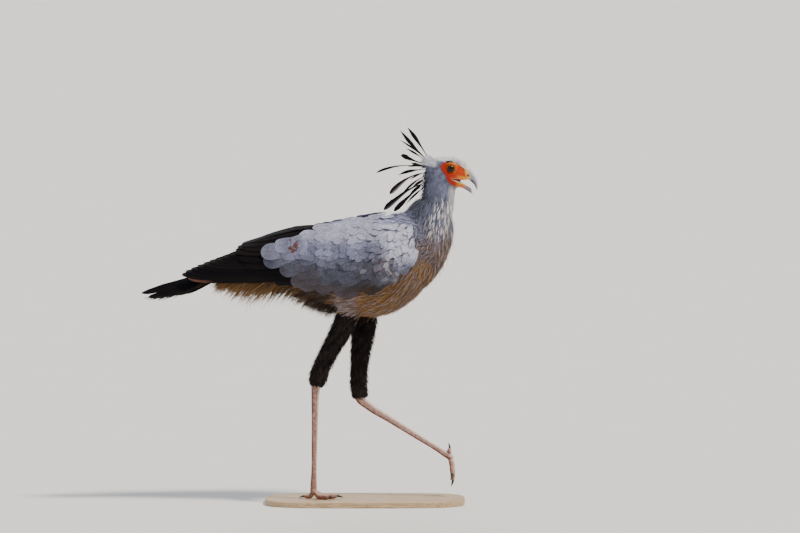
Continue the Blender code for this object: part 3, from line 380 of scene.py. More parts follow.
def tube_rings(path, depths, widths, sides, left=(0.0, 1.0, 0.0)):
    """Rings square to a path. Depth lies in the side view's plane and width across it."""
    ahead = unit(np.gradient(path, axis=0))
    angle = np.linspace(0, TAU, sides, endpoint=False)
    left = np.array(left)
    rings = []
    for centre, forward, depth, width in zip(path, ahead, depths, widths):
        side = unit(left - left @ forward * forward)
        front = np.cross(side, forward)
        rings.append(centre + np.cos(angle)[:, None] * front * depth + np.sin(angle)[:, None] * side * width)
    return rings


def limb_rows(stations, count):
    """Path, half depths and half widths of a limb at equal steps along it."""
    rows = along_curve([(s[0], s[2], s[1], s[3], s[4]) for s in stations], count)
    return np.stack([rows[:, 0], rows[:, 2], rows[:, 1]], 1), rows[:, 3], rows[:, 4]


def body_points(table, squareness, x, turn):
    top, bottom, half = stations_at(table, x).T
    y = -half * signed_power(np.sin(turn), 2 / squareness)
    z = (top + bottom) / 2 + (top - bottom) / 2 * signed_power(np.cos(turn), 2 / squareness)
    return np.stack([x, y, z], -1)


def guide_frames(x, z):
    """Points and outward normals of the wing guide's right side where the side view shows x and z."""
    shape = np.shape(x)
    x, z = np.ravel(x), np.ravel(z)
    top, bottom, _ = stations_at(WING_GUIDE, x).T
    share = np.clip((z - (top + bottom) / 2) / ((top - bottom) / 2), -0.985, 0.985)
    turn = np.arccos(signed_power(share, GUIDE_SQUARENESS / 2))
    here = body_points(WING_GUIDE, GUIDE_SQUARENESS, x, turn)
    by_x = body_points(WING_GUIDE, GUIDE_SQUARENESS, x - 1e-4, turn) - here
    by_turn = body_points(WING_GUIDE, GUIDE_SQUARENESS, x, turn + 1e-4) - here
    normal = unit(np.cross(by_x, by_turn))
    return here.reshape(*shape, 3), normal.reshape(*shape, 3)


def arm_heights(x, z):
    """Height of the wing's arm above the guide where the side view shows x and z."""
    shape = np.shape(x)
    upper, lower, thick = stations_at(WING_ARM, np.ravel(x)).T
    share = np.clip((2 * np.ravel(z) - upper - lower) / (upper - lower), -0.9, 0.9)
    return (thick * (1 - 0.55 * share ** 6)).reshape(shape)


def drift(points, period, seed):
    """Smooth numbers from about -1 to 1 that wander over the given distance."""
    rng = np.random.default_rng(seed)
    total = np.zeros(len(points))
    for _ in range(7):
        way = unit(rng.normal(size=3)) * TAU / (period * rng.uniform(0.6, 1.6))
        total += np.sin(points @ way + rng.uniform(0, TAU))
    return total / 3.2


# ---------------------------------------------------------------- meshes

def new_mesh_object(name, verts, faces, smooth=True):
    mesh = bpy.data.meshes.new(name)
    mesh.from_pydata(np.asarray(verts).tolist(), [], [tuple(map(int, face)) for face in faces])
    mesh.polygons.foreach_set("use_smooth", [smooth] * len(mesh.polygons))
    obj = bpy.data.objects.new(name, mesh)
    bpy.context.scene.collection.objects.link(obj)
    return obj


def face_outwards(obj):
    edit = bmesh.new()
    edit.from_mesh(obj.data)
    bmesh.ops.remove_doubles(edit, verts=edit.verts, dist=1e-7)
    bmesh.ops.recalc_face_normals(edit, faces=edit.faces)
    if edit.calc_volume(signed=True) < 0:
        bmesh.ops.reverse_faces(edit, faces=edit.faces)
    edit.to_mesh(obj.data)
    edit.free()
    return obj


def lofted(rings):
    """Points and faces of a closed skin over rings of equal count."""
    sides = len(rings[0])
    verts = np.concatenate(rings)
    last = (len(rings) - 1) * sides
    faces = []
    for start in range(0, last, sides):
        for k in range(sides):
            j = (k + 1) % sides
            faces.append((start + k, start + sides + k, start + sides + j, start + j))
    faces.append(tuple(range(sides)))
    faces.append(tuple(range(last + sides - 1, last - 1, -1)))
    return verts, faces


def joined(parts):
    """Points and faces of several shells as one."""
    verts, faces, shift = [], [], 0
    for points, polygons in parts:
        verts.append(points)
        faces.extend(tuple(index + shift for index in polygon) for polygon in polygons)
        shift += len(points)
    return np.concatenate(verts), faces


def mirrored(part):
    points, polygons = part
    return points * (1.0, -1.0, 1.0), [tuple(reversed(polygon)) for polygon in polygons]


def grid_pad(outer, inner):
    """A closed pad between two grids of points, rows by columns."""
    columns, rows = outer.shape[:2]
    back = columns * rows
    faces = []
    for a in range(0, back - rows, rows):
        b = a + rows
        for r in range(rows - 1):
            faces.append((a + r, b + r, b + r + 1, a + r + 1))
            faces.append((back + a + r, back + a + r + 1, back + b + r + 1, back + b + r))
        faces.append((a, back + a, back + b, b))
        r = rows - 1
        faces.append((a + r, b + r, back + b + r, back + a + r))
    for r in range(rows - 1):
        faces.append((r, r + 1, back + r + 1, back + r))
        a = back - rows + r
        faces.append((a, back + a, back + a + 1, a + 1))
    return np.concatenate([outer.reshape(-1, 3), inner.reshape(-1, 3)]), faces


def applied(obj, changes):
    """The object's mesh with modifiers applied: kind and settings of each."""
    for kind, settings in changes:
        modifier = obj.modifiers.new(kind.lower(), kind)
        for key, value in settings.items():
            setattr(modifier, key, value)
    bpy.context.view_layer.update()
    mesh = bpy.data.meshes.new_from_object(obj.evaluated_get(bpy.context.evaluated_depsgraph_get()))
    obj.modifiers.clear()
    obj.data = mesh
    mesh.name = obj.name
    return obj


def cut_away(obj, tools):
    for tool in tools:
        applied(obj, [("BOOLEAN", {"operation": "DIFFERENCE", "solver": "EXACT", "object": tool})])
        bpy.data.objects.remove(tool, do_unlink=True)
    return obj


def mesh_points(obj):
    flat = np.empty(len(obj.data.vertices) * 3)
    obj.data.vertices.foreach_get("co", flat)
    return flat.reshape(-1, 3)


def mesh_normals(obj):
    flat = np.empty(len(obj.data.vertices) * 3)
    obj.data.vertex_normals.foreach_get("vector", flat)
    return flat.reshape(-1, 3)


def place_points(obj, points):
    obj.data.vertices.foreach_set("co", points.ravel())
    obj.data.update()


def set_colours(mesh, name, colours):
    attribute = mesh.attributes.new(name, "FLOAT_COLOR", "POINT")
    attribute.data.foreach_set("color", np.column_stack([colours, np.ones(len(colours))]).ravel())


def in_outline(outline, x, z):
    """Signed distance to an outline in the side view, positive inside."""
    corners = np.array(outline)
    nearest = np.full(len(x), 1e9)
    inside = np.zeros(len(x), bool)
    for (x0, z0), (x1, z1) in zip(corners, np.roll(corners, -1, axis=0)):
        dx, dz = x1 - x0, z1 - z0
        t = np.clip(((x - x0) * dx + (z - z0) * dz) / (dx * dx + dz * dz), 0, 1)
        nearest = np.minimum(nearest, np.hypot(x - x0 - t * dx, z - z0 - t * dz))
        crossing = ((z0 > z) != (z1 > z)) & (x < (x1 - x0) * (z - z0) / (z1 - z0 + 1e-12) + x0)
        inside ^= crossing
    return np.where(inside, nearest, -nearest)


def finish_piece(obj, looks, replaces=(), sharp=None):
    """Gives a piece its materials and body, and hides the solids that it stands for."""
    obj.data.materials.clear()
    for look in looks:
        obj.data.materials.append(look)
    if sharp is not None:
        obj.data.set_sharp_from_angle(angle=math.radians(sharp))
    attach(obj, "root")
    if replaces:
        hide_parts(*replaces)
    return obj


# ---------------------------------------------------------------- materials

def add(tree, kind, inputs=(), **settings):
    """Adds a node with its settings, and sets or links its inputs."""
    made = tree.nodes.new(kind)
    for key, value in settings.items():
        setattr(made, key, value)
    for key, value in dict(inputs).items():
        socket = made.inputs[key]
        if isinstance(value, bpy.types.NodeSocket):
            tree.links.new(value, socket)
        else:
            socket.default_value = value
    return made


def new_material(name, roughness, **sockets):
    made = bpy.data.materials.new(name)
    made.use_nodes = True
    shader = made.node_tree.nodes["Principled BSDF"]
    shader.inputs["Roughness"].default_value = roughness
    for key, value in sockets.items():
        shader.inputs[key.replace("_", " ")].default_value = value
    return made, made.node_tree, shader


def arithmetic(tree, operation, a, b=0.0, c=0.0):
    return add(tree, "ShaderNodeMath", {0: a, 1: b, 2: c}, operation=operation).outputs[0]


def colour_mix(tree, share, a, b, blend_type="MIX"):
    made = add(tree, "ShaderNodeMix", data_type="RGBA", blend_type=blend_type)
    for socket, value in ((made.inputs[0], share), (made.inputs[6], a), (made.inputs[7], b)):
        if isinstance(value, bpy.types.NodeSocket):
            tree.links.new(value, socket)
        else:
            socket.default_value = value
    return made.outputs[2]


def spread(tree, value, low, high, to_low=0.0, to_high=1.0):
    """A number mapped from one range to another, held at its ends."""
    made = add(tree, "ShaderNodeMapRange", {0: value, 1: low, 2: high, 3: to_low, 4: to_high},
               interpolation_type="SMOOTHSTEP")
    return made.outputs[0]


def object_noise(tree, millimetres, detail=2.0, stretch=(1.0, 1.0, 1.0)):
    place = add(tree, "ShaderNodeTexCoord").outputs["Object"]
    if stretch != (1.0, 1.0, 1.0):
        place = add(tree, "ShaderNodeMapping", {"Vector": place, "Scale": stretch}).outputs[0]
    made = add(tree, "ShaderNodeTexNoise", {"Vector": place, "Scale": 1000.0 / millimetres, "Detail": detail})
    return made.outputs[0]


def bump(tree, shader, height, distance, strength=1.0):
    made = add(tree, "ShaderNodeBump", {"Height": height, "Distance": distance, "Strength": strength})
    tree.links.new(made.outputs[0], shader.inputs["Normal"])


def plumage(name, barb_mm, roughness, shaft, pale_tip, root_dark, sheen=0.1, gloss=0.3, barbs=0.3):
    """Feather keratin, grown as barbs off a shaft. It gives fine slanting lines, a soft sheen and frayed,
    paler tips. Real barbs stand about 0.3 mm apart, and they are drawn coarser so that they show."""
    made, tree, shader = new_material(name, roughness, Sheen_Weight=sheen, Sheen_Roughness=0.5,
                                      Specular_IOR_Level=gloss)
    colour = add(tree, "ShaderNodeAttribute", attribute_name="plumage").outputs["Color"]
    lay = add(tree, "ShaderNodeSeparateXYZ", {0: add(tree, "ShaderNodeUVMap", uv_map="vane").outputs[0]})
    share = add(tree, "ShaderNodeSeparateXYZ", {0: add(tree, "ShaderNodeUVMap", uv_map="share").outputs[0]})
    across = arithmetic(tree, "ABSOLUTE", lay.outputs[0])
    slant = arithmetic(tree, "MULTIPLY_ADD", across, -0.9, lay.outputs[1])
    place = add(tree, "ShaderNodeSeparateXYZ", {0: add(tree, "ShaderNodeTexCoord").outputs["Object"]})
    run = add(tree, "ShaderNodeCombineXYZ", {
        0: arithmetic(tree, "MULTIPLY", slant, 1000.0 / barb_mm),
        1: arithmetic(tree, "MULTIPLY", lay.outputs[0], 1000.0 / (8.0 * barb_mm)),
        2: arithmetic(tree, "MULTIPLY", place.outputs[0], 60.0),
    }).outputs[0]
    line = add(tree, "ShaderNodeTexNoise", {"Vector": run, "Scale": 1.0, "Detail": 2.5}).outputs[0]
    ragged = spread(tree, line, 0.58, 0.36, 0.0, barbs)
    colour = colour_mix(tree, ragged, colour, rgba("#5A5658"), "MULTIPLY")
    rim = arithmetic(tree, "MAXIMUM", spread(tree, share.outputs[1], 0.84, 1.0),
                     spread(tree, arithmetic(tree, "ABSOLUTE", share.outputs[0]), 0.66, 1.0))
    colour = colour_mix(tree, arithmetic(tree, "MULTIPLY", rim, pale_tip), colour, (2.0, 1.98, 1.95, 1.0), "MULTIPLY")
    depth = spread(tree, share.outputs[1], 0.15, 0.80, root_dark, 0.0)
    colour = colour_mix(tree, depth, colour, rgba("#4A4648"), "MULTIPLY")
    quill = spread(tree, across, 0.0003, 0.0007, shaft, 0.0)
    colour = colour_mix(tree, quill, colour, rgba("#6A6264"), "MULTIPLY")
    tree.links.new(colour, shader.inputs["Base Color"])
    bump(tree, shader, line, 0.0004, 0.6)
    return made


def coat_layer():
    """Skin and down under the feathers, soft and matt, in the same markings as they are."""
    made, tree, shader = new_material("down_over_skin", 0.95, Sheen_Weight=0.2)
    colour = add(tree, "ShaderNodeAttribute", attribute_name="plumage").outputs["Color"]
    colour = colour_mix(tree, spread(tree, object_noise(tree, 3.0, 4.0), 0.3, 0.7, 0.15, 0.6), colour,
                        rgba("#24211F"))
    tree.links.new(colour, shader.inputs["Base Color"])
    bump(tree, shader, object_noise(tree, 1.5, 3.0), 0.0006)
    return made


def bare_skin():
    """Bare facial skin, soft living keratin over blood. It gives a saturated, slightly translucent orange
    with fine creases and pores, which are darkened with painted shade."""
    made, tree, shader = new_material("bare_face_skin", 0.5, Subsurface_Weight=0.1, Subsurface_Scale=1.0,
                                      Subsurface_Radius=(0.0016, 0.0006, 0.0003), Specular_IOR_Level=0.22)
    place = add(tree, "ShaderNodeTexCoord").outputs["Object"]
    at = add(tree, "ShaderNodeSeparateXYZ", {0: place})
    wander = arithmetic(tree, "MULTIPLY_ADD", object_noise(tree, 9.0, 3.0), 0.012, at.outputs[0])
    forward = spread(tree, wander, 0.238, 0.292)
    colour = colour_mix(tree, forward, rgba("#AC1A02"), rgba("#C94403"))
    dx = arithmetic(tree, "SUBTRACT", at.outputs[0], EYE[0] + 0.002)
    dz = arithmetic(tree, "SUBTRACT", at.outputs[2], EYE[2] + 0.003)
    reach = arithmetic(tree, "SQRT", arithmetic(tree, "ADD", arithmetic(tree, "MULTIPLY", dx, dx),
                                                arithmetic(tree, "MULTIPLY", dz, dz)))
    ring = spread(tree, reach, 0.0200, 0.0125)
    colour = colour_mix(tree, arithmetic(tree, "MULTIPLY", ring, 0.75), colour, rgba("#EE7E10"))
    brow = arithmetic(tree, "MULTIPLY", spread(tree, at.outputs[2], 0.982, 0.990),
                      spread(tree, at.outputs[0], 0.236, 0.250))
    colour = colour_mix(tree, arithmetic(tree, "MULTIPLY", brow, 0.65), colour, rgba("#F8A038"))
    lip = arithmetic(tree, "MULTIPLY_ADD", at.outputs[0], 0.15, at.outputs[2])
    lip = arithmetic(tree, "MULTIPLY", spread(tree, lip, 1.0000, 0.9915), spread(tree, at.outputs[0], 0.258, 0.278))
    colour = colour_mix(tree, arithmetic(tree, "MULTIPLY", lip, 0.8), colour, rgba("#E8A63C"))
    blotch = spread(tree, object_noise(tree, 4.0, 4.0), 0.45, 0.7)
    colour = colour_mix(tree, arithmetic(tree, "MULTIPLY", blotch, 0.45), colour, rgba("#A81E06"))
    pores = add(tree, "ShaderNodeTexVoronoi", {"Vector": place, "Scale": 1000.0 / 1.1})
    pit = spread(tree, pores.outputs[0], 0.0, 0.5)
    crease = spread(tree, object_noise(tree, 2.2, 3.0, (1.0, 1.0, 2.6)), 0.40, 0.58)
    relief = arithmetic(tree, "MULTIPLY_ADD", crease, 0.8, arithmetic(tree, "MULTIPLY", pit, 0.5))
    # Painted shade: darker in the creases and pores.
    shade = arithmetic(tree, "MULTIPLY_ADD", relief, -0.50, 0.55)
    colour = colour_mix(tree, shade, colour, rgba("#7A1604"))
    tree.links.new(colour, shader.inputs["Base Color"])
    bump(tree, shader, relief, 0.0004, 0.9)
    return made


def mouth_lining():
    """Wet lining of the mouth, smooth flesh. It gives a gleam between the open halves on a dark pink that
    is partly painted shade inside the mouth.
    """
    made, tree, shader = new_material("mouth_lining", 0.3, Subsurface_Weight=0.1)
    colour = colour_mix(tree, object_noise(tree, 3.0), rgba("#2A100C"), rgba("#54241C"))
    tree.links.new(colour, shader.inputs["Base Color"])
    bump(tree, shader, object_noise(tree, 1.2), 0.0002)
    return made


def bill_horn():
    """Beak horn, keratin grown in layers and worn smooth, with a waxy yellow cere at its root. It gives a
    blue-grey satin gloss with growth lines, a dark cutting edge and a pale ridge, partly its own paler
    horn and partly a painted highlight."""
    made, tree, shader = new_material("layered_bill_horn", 0.3, Coat_Weight=0.15, Coat_Roughness=0.25)
    place = add(tree, "ShaderNodeTexCoord").outputs["Object"]
    at = add(tree, "ShaderNodeSeparateXYZ", {0: place})
    ridge = add(tree, "ShaderNodeAttribute", attribute_name="ridge").outputs["Fac"]
    reach = add(tree, "ShaderNodeAttribute", attribute_name="reach").outputs["Fac"]
    wander = object_noise(tree, 3.0, 3.0)
    ridge = arithmetic(tree, "MULTIPLY_ADD", wander, 0.30, arithmetic(tree, "SUBTRACT", ridge, 0.15))
    growth = object_noise(tree, 1.3, 3.0, (1.0, 0.6, 0.35))
    colour = colour_mix(tree, spread(tree, growth, 0.25, 0.75), rgba("#7F86A2"), rgba("#A2A5B6"))
    # Pale ridge: partly the culmen's own paler horn, partly a painted highlight along the top.
    colour = colour_mix(tree, arithmetic(tree, "MULTIPLY", spread(tree, ridge, 0.30, 0.85), 0.9), colour,
                        rgba("#D9D4CE"))
    edge = arithmetic(tree, "MULTIPLY", spread(tree, ridge, -0.02, -0.50), spread(tree, reach, 0.45, 0.60))
    colour = colour_mix(tree, arithmetic(tree, "MULTIPLY", edge, 0.92), colour, rgba("#262230"))
    colour = colour_mix(tree, arithmetic(tree, "MULTIPLY", spread(tree, reach, 0.90, 0.98), 0.6), colour,
                        rgba("#CFC6BE"))
    slope = arithmetic(tree, "MULTIPLY_ADD", at.outputs[2], 0.25, at.outputs[0])
    border = arithmetic(tree, "MULTIPLY_ADD", object_noise(tree, 5.0), 0.005, slope)
    cere = spread(tree, border, 0.5455, 0.5425)
    wax = colour_mix(tree, spread(tree, object_noise(tree, 3.0, 3.0), 0.35, 0.7), rgba("#F0C23E"), rgba("#E0862A"))
    wax = colour_mix(tree, spread(tree, slope, 0.5330, 0.5285), wax, rgba("#DC4E0C"))
    dx = arithmetic(tree, "SUBTRACT", at.outputs[0], NOSTRIL[0])
    dz = arithmetic(tree, "SUBTRACT", at.outputs[2], NOSTRIL[2])
    near = arithmetic(tree, "SQRT", arithmetic(tree, "ADD", arithmetic(tree, "MULTIPLY", dx, dx),
                                               arithmetic(tree, "MULTIPLY", dz, dz)))
    wax = colour_mix(tree, arithmetic(tree, "MULTIPLY", spread(tree, near, 0.0052, 0.0030), 0.7), wax,
                     rgba("#5A2A10"))
    colour = colour_mix(tree, cere, colour, wax)
    tree.links.new(colour, shader.inputs["Base Color"])
    bump(tree, shader, object_noise(tree, 0.9, 3.0, (1.0, 1.0, 0.4)), 0.00016, 0.7)
    return made


def lower_horn():
    """Beak horn of the lower half, as above, orange where it meets the face and ivory at its tip."""
    made, tree, shader = new_material("lower_bill_horn", 0.32, Coat_Weight=0.15, Coat_Roughness=0.25)
    at = add(tree, "ShaderNodeSeparateXYZ", {0: add(tree, "ShaderNodeTexCoord").outputs["Object"]})
    along = arithmetic(tree, "MULTIPLY_ADD", object_noise(tree, 4.0, 2.0), 0.004, at.outputs[0])
    ridge = add(tree, "ShaderNodeAttribute", attribute_name="ridge").outputs["Fac"]
    growth = object_noise(tree, 1.3, 3.0)
    colour = colour_mix(tree, spread(tree, growth, 0.25, 0.75), rgba("#675F72"), rgba("#8A8092"))
    colour = colour_mix(tree, arithmetic(tree, "MULTIPLY", spread(tree, ridge, -0.2, -0.9), 0.7), colour,
                        rgba("#3A323E"))
    colour = colour_mix(tree, spread(tree, along, 0.2940, 0.2880), colour, rgba("#D0662A"))
    colour = colour_mix(tree, spread(tree, along, 0.2860, 0.2760), colour, rgba("#D8480C"))
    colour = colour_mix(tree, spread(tree, along, 0.3085, 0.3130), colour, rgba("#EDE8DC"))
    tree.links.new(colour, shader.inputs["Base Color"])
    bump(tree, shader, object_noise(tree, 0.9, 3.0), 0.00014, 0.6)
    return made


def gape_rim():
    """Soft fleshy rim of the gape, smooth and a little moist: pale pink at the corner, wax-yellow in front."""
    made, tree, shader = new_material("gape_rim_flesh", 0.35, Subsurface_Weight=0.15)
    at = add(tree, "ShaderNodeSeparateXYZ", {0: add(tree, "ShaderNodeTexCoord").outputs["Object"]})
    colour = colour_mix(tree, spread(tree, at.outputs[0], 0.268, 0.276), rgba("#E9BBAA"), rgba("#F4C244"))
    upper = arithmetic(tree, "MULTIPLY_ADD", at.outputs[0], 0.30, at.outputs[2])
    colour = colour_mix(tree, spread(tree, upper, 1.0195, 1.0215), colour, rgba("#A6340C"))
    blotch = spread(tree, object_noise(tree, 2.5, 3.0), 0.45, 0.75)
    colour = colour_mix(tree, arithmetic(tree, "MULTIPLY", blotch, 0.5), colour, rgba("#D0582A"))
    tree.links.new(colour, shader.inputs["Base Color"])
    bump(tree, shader, object_noise(tree, 0.7), 0.00015, 0.6)
    return made


def eye_wet():
    """Living eye: clear wet cornea over a dark iris. It gives one sharp gleam on near black, with a dark
    brown ring round the pupil."""
    made, tree, shader = new_material("wet_eye", 0.12, Coat_Weight=0.5, Coat_Roughness=0.03, Coat_IOR=1.34,
                                      Specular_IOR_Level=0.15)
    at = add(tree, "ShaderNodeSeparateXYZ", {0: add(tree, "ShaderNodeTexCoord").outputs["Object"]})
    dx = arithmetic(tree, "SUBTRACT", at.outputs[0], EYE[0])
    dz = arithmetic(tree, "SUBTRACT", at.outputs[2], EYE[2])
    reach = arithmetic(tree, "SQRT", arithmetic(tree, "ADD", arithmetic(tree, "MULTIPLY", dx, dx),
                                                arithmetic(tree, "MULTIPLY", dz, dz)))
    streak = object_noise(tree, 0.9, 3.0)
    iris = colour_mix(tree, spread(tree, streak, 0.3, 0.7), rgba("#1A0D06"), rgba("#42260F"))
    iris = colour_mix(tree, spread(tree, reach, 0.0054, 0.0062), rgba("#020202"), iris)
    iris = colour_mix(tree, spread(tree, reach, 0.0084, 0.0100), iris, rgba("#040303"))
    tree.links.new(iris, shader.inputs["Base Color"])
    return made


def lid_rim():
    """Lid margin, thin moist skin, darker than the face round it."""
    made, tree, shader = new_material("moist_lid_margin", 0.3, Subsurface_Weight=0.1)
    colour = colour_mix(tree, spread(tree, object_noise(tree, 1.5), 0.3, 0.7), rgba("#3A1A0E"), rgba("#A8501E"))
    tree.links.new(colour, shader.inputs["Base Color"])
    return made


def lash_horn():
    """Lashes, bare feather shafts of black keratin, smooth and half glossy."""
    made, tree, shader = new_material("black_lash_keratin", 0.4)
    colour = colour_mix(tree, object_noise(tree, 2.0), rgba("#0B0A0C"), rgba("#1D1A1C"))
    tree.links.new(colour, shader.inputs["Base Color"])
    return made


def leg_skin(name):
    """Scaled leg skin, thin keratin plates over flesh. It gives a dry satin surface with dust low down. Pale
    flesh pink where it faces forwards and up and darker red-brown behind and below are painted light and shade."""
    made, tree, shader = new_material(name, 0.52, Subsurface_Weight=0.06, Specular_IOR_Level=0.35)
    at = add(tree, "ShaderNodeSeparateXYZ", {0: add(tree, "ShaderNodeTexCoord").outputs["Object"]})
    # Painted light and shade: pale where the skin faces forwards and up, red-brown behind and below.
    front = add(tree, "ShaderNodeAttribute", attribute_name="lit_side").outputs["Fac"]
    front = arithmetic(tree, "MULTIPLY_ADD", object_noise(tree, 8.0, 3.0), 0.35, front)
    colour = colour_mix(tree, spread(tree, front, 0.35, 0.95), rgba("#6E3526"), rgba("#E0BFB0"))
    low = spread(tree, arithmetic(tree, "MULTIPLY_ADD", object_noise(tree, 30.0, 3.0), 0.05, at.outputs[2]),
                 0.20, 0.05)
    colour = colour_mix(tree, arithmetic(tree, "MULTIPLY", low, 0.55), colour, rgba("#8E5F49"))
    blotch = spread(tree, object_noise(tree, 7.0, 4.0), 0.45, 0.72)
    colour = colour_mix(tree, arithmetic(tree, "MULTIPLY", blotch, 0.35), colour, rgba("#E0CBBE"))
    grime = spread(tree, object_noise(tree, 2.6, 4.0), 0.5, 0.75)
    colour = colour_mix(tree, arithmetic(tree, "MULTIPLY", grime, 0.5), colour, rgba("#4E2E24"))
    tree.links.new(colour, shader.inputs["Base Color"])
    bump(tree, shader, object_noise(tree, 0.9, 3.0), 0.0002, 0.7)
    return made


def claw_horn():
    """Blunt claw horn, grown in long layers and scuffed by walking. It gives a dark, streaked half gloss."""
    made, tree, shader = new_material("walked_claw_horn", 0.34, Coat_Weight=0.1)
    streak = spread(tree, object_noise(tree, 1.6, 3.0), 0.3, 0.7)
    colour = colour_mix(tree, streak, rgba("#1C1817"), rgba("#4A3F3A"))
    tree.links.new(colour, shader.inputs["Base Color"])
    bump(tree, shader, streak, 0.00008, 0.6)
    return made


def pale_wood():
    """Limed oak, planed and oiled. It gives a pale matt board with long grain lines about 2 mm apart and
    short dark pores."""
    made, tree, shader = new_material("planed_limed_oak", 0.5)
    grain = object_noise(tree, 14.0, 4.0, (0.06, 1.0, 1.0))
    rings = arithmetic(tree, "SINE", arithmetic(tree, "MULTIPLY", grain, 55.0))
    colour = colour_mix(tree, spread(tree, rings, -0.8, 1.0), rgba("#C7AE8B"), rgba("#AD906B"))
    pores = spread(tree, object_noise(tree, 1.4, 2.0, (0.05, 1.0, 1.0)), 0.60, 0.72)
    colour = colour_mix(tree, arithmetic(tree, "MULTIPLY", pores, 0.6), colour, rgba("#7A6044"))
    tree.links.new(colour, shader.inputs["Base Color"])
    bump(tree, shader, pores, -0.0001, 0.7)
    return made


def matt_floor():
    """Seamless matt paper, rolled out. It gives a plain pale ground that takes a soft shadow."""
    made, tree, shader = new_material("seamless_matt_paper", 0.9)
    colour = colour_mix(tree, object_noise(tree, 300.0), rgba("#EFEEEB"), rgba("#F3F2EF"))
    tree.links.new(colour, shader.inputs["Base Color"])
    return made


# ---------------------------------------------------------------- markings

GREY = linear("#8C90B0")
LILAC = linear("#A6A9CA")
PALE = linear("#C6C9DE")
WHITE = linear("#E9E6E6")
SLATE = linear("#5F6476")
TAWNY = linear("#836443")
OCHRE = linear("#997143")
UMBER = linear("#4E3622")
DUSK = linear("#2A2320")
BLACK = linear("#0E0C11")
RUFOUS = linear("#74402C")
WORN = linear("#6A4A3E")


def mix(a, b, share):
    share = np.clip(share, 0.0, 1.0)[:, None]
    return a * (1 - share) + b * share


def head_tone(points, rng):
    """White crown, blue-grey cheeks, white chin, darker nape and a black brow over each eye. The lighter top is
    partly a painted highlight. The darker cheeks, nape and a band behind the eye are partly painted shade. The
    black brow is a painted shadow.
    """
    x, _, z = points.T
    # Blue-grey darkened towards slate: partly the cheeks' own colour, partly painted shade on the side of the head.
    tone = mix(GREY * 0.85, SLATE * 0.9, 0.55 + 0.40 * drift(points, 0.02, 31))
    # Lighter on the crown: its own pale feathers with a painted highlight on the top.
    crown = ramp(z + 0.004 * drift(points, 0.02, 45), 0.992, 1.004)
    tone = mix(tone, WHITE * 1.04, 0.95 * np.maximum(crown, ramp(x, 0.268, 0.280)))
    # Painted shade low at the back of the cheek.
    tone = mix(tone, SLATE, 0.5 * ramp(z, 0.955, 0.92) * ramp(x, 0.230, 0.200))
    tone = mix(tone, WHITE, 0.50 * ramp(z, 0.932, 0.912) * ramp(x, 0.232, 0.254))
    # Painted shade: a darker band behind the eye, between crown and cheek.
    tone = mix(tone, SLATE * 0.75, 0.6 * ramp(x, 0.236, 0.226) * ramp(z, 0.972, 0.980) * ramp(z, 0.992, 0.986))
    tone = mix(tone, mix(PALE[None], WHITE[None], rng.uniform(-0.2, 1.2, len(points))), 0.9 * ramp(x, 0.212, 0.200) * ramp(z, 0.977, 0.987))
    # Painted shadow: a black mark over each eye, where the brow and lashes shade the feathers.
    brow = np.exp(-((x - 0.2415) / 0.0100) ** 4 - ((z - 0.9978) / 0.0027) ** 4)
    tone = mix(tone, BLACK, 1.2 * brow)
    return tone * rng.uniform(0.88, 1.10, len(points))[:, None]


def neck_tone(points, rng):
    """Slate grey with white streaks, white down the front, darker at the rear with painted shade, and dusty tawny
    towards the breast, partly dust and partly painted warm light reflected from below.
    """
    x, _, z = points.T
    middle = stations_at([(row[1], row[0], row[2]) for row in NECK], z)[:, 0]
    front = ramp(x - middle, -0.016, 0.012)
    rim = ramp(x - middle, 0.022, 0.036)
    lot = rng.uniform(0, 1, len(points))
    streak = drift(points * (1.0, 1.0, 0.30), 0.011, 52)
    # Darker towards the rear: painted shade on the neck's slate grey.
    rear = ramp(x - middle, -0.022, -0.046)
    tone = mix(np.broadcast_to(SLATE * 0.8, points.shape), GREY, 0.34 + 0.16 * front - 0.30 * rear)
    high = ramp(z, 0.762, 0.815)
    tone = mix(tone, WHITE * 1.1, front * (0.35 + 0.65 * high) * ramp(streak + lot - 0.5, 0.08, 0.48))
    tone = mix(tone, SLATE * 0.5, ramp(lot - 0.6 * streak, 0.75, 1.1) * (1 - rim))
    tone = mix(tone, WHITE, 0.45 * rim * ramp(z, 0.82, 0.87))
    # Tawny low on the neck: partly dust, partly painted warm light reflected from below.
    low = ramp(z + 0.02 * drift(points, 0.05, 32), 0.85, 0.70)
    tone = mix(tone, TAWNY * 0.78, 0.9 * low * (0.25 + 0.75 * front))
    tone = mix(tone, UMBER, 0.5 * low * ramp(rng.uniform(0, 1, len(points)), 0.55, 1.0))
    tone = mix(tone, PALE, 0.35 * low * ramp(rng.uniform(0, 1, len(points)), 0.30, 0.05))
    return tone * rng.uniform(0.85, 1.12, len(points))[:, None]


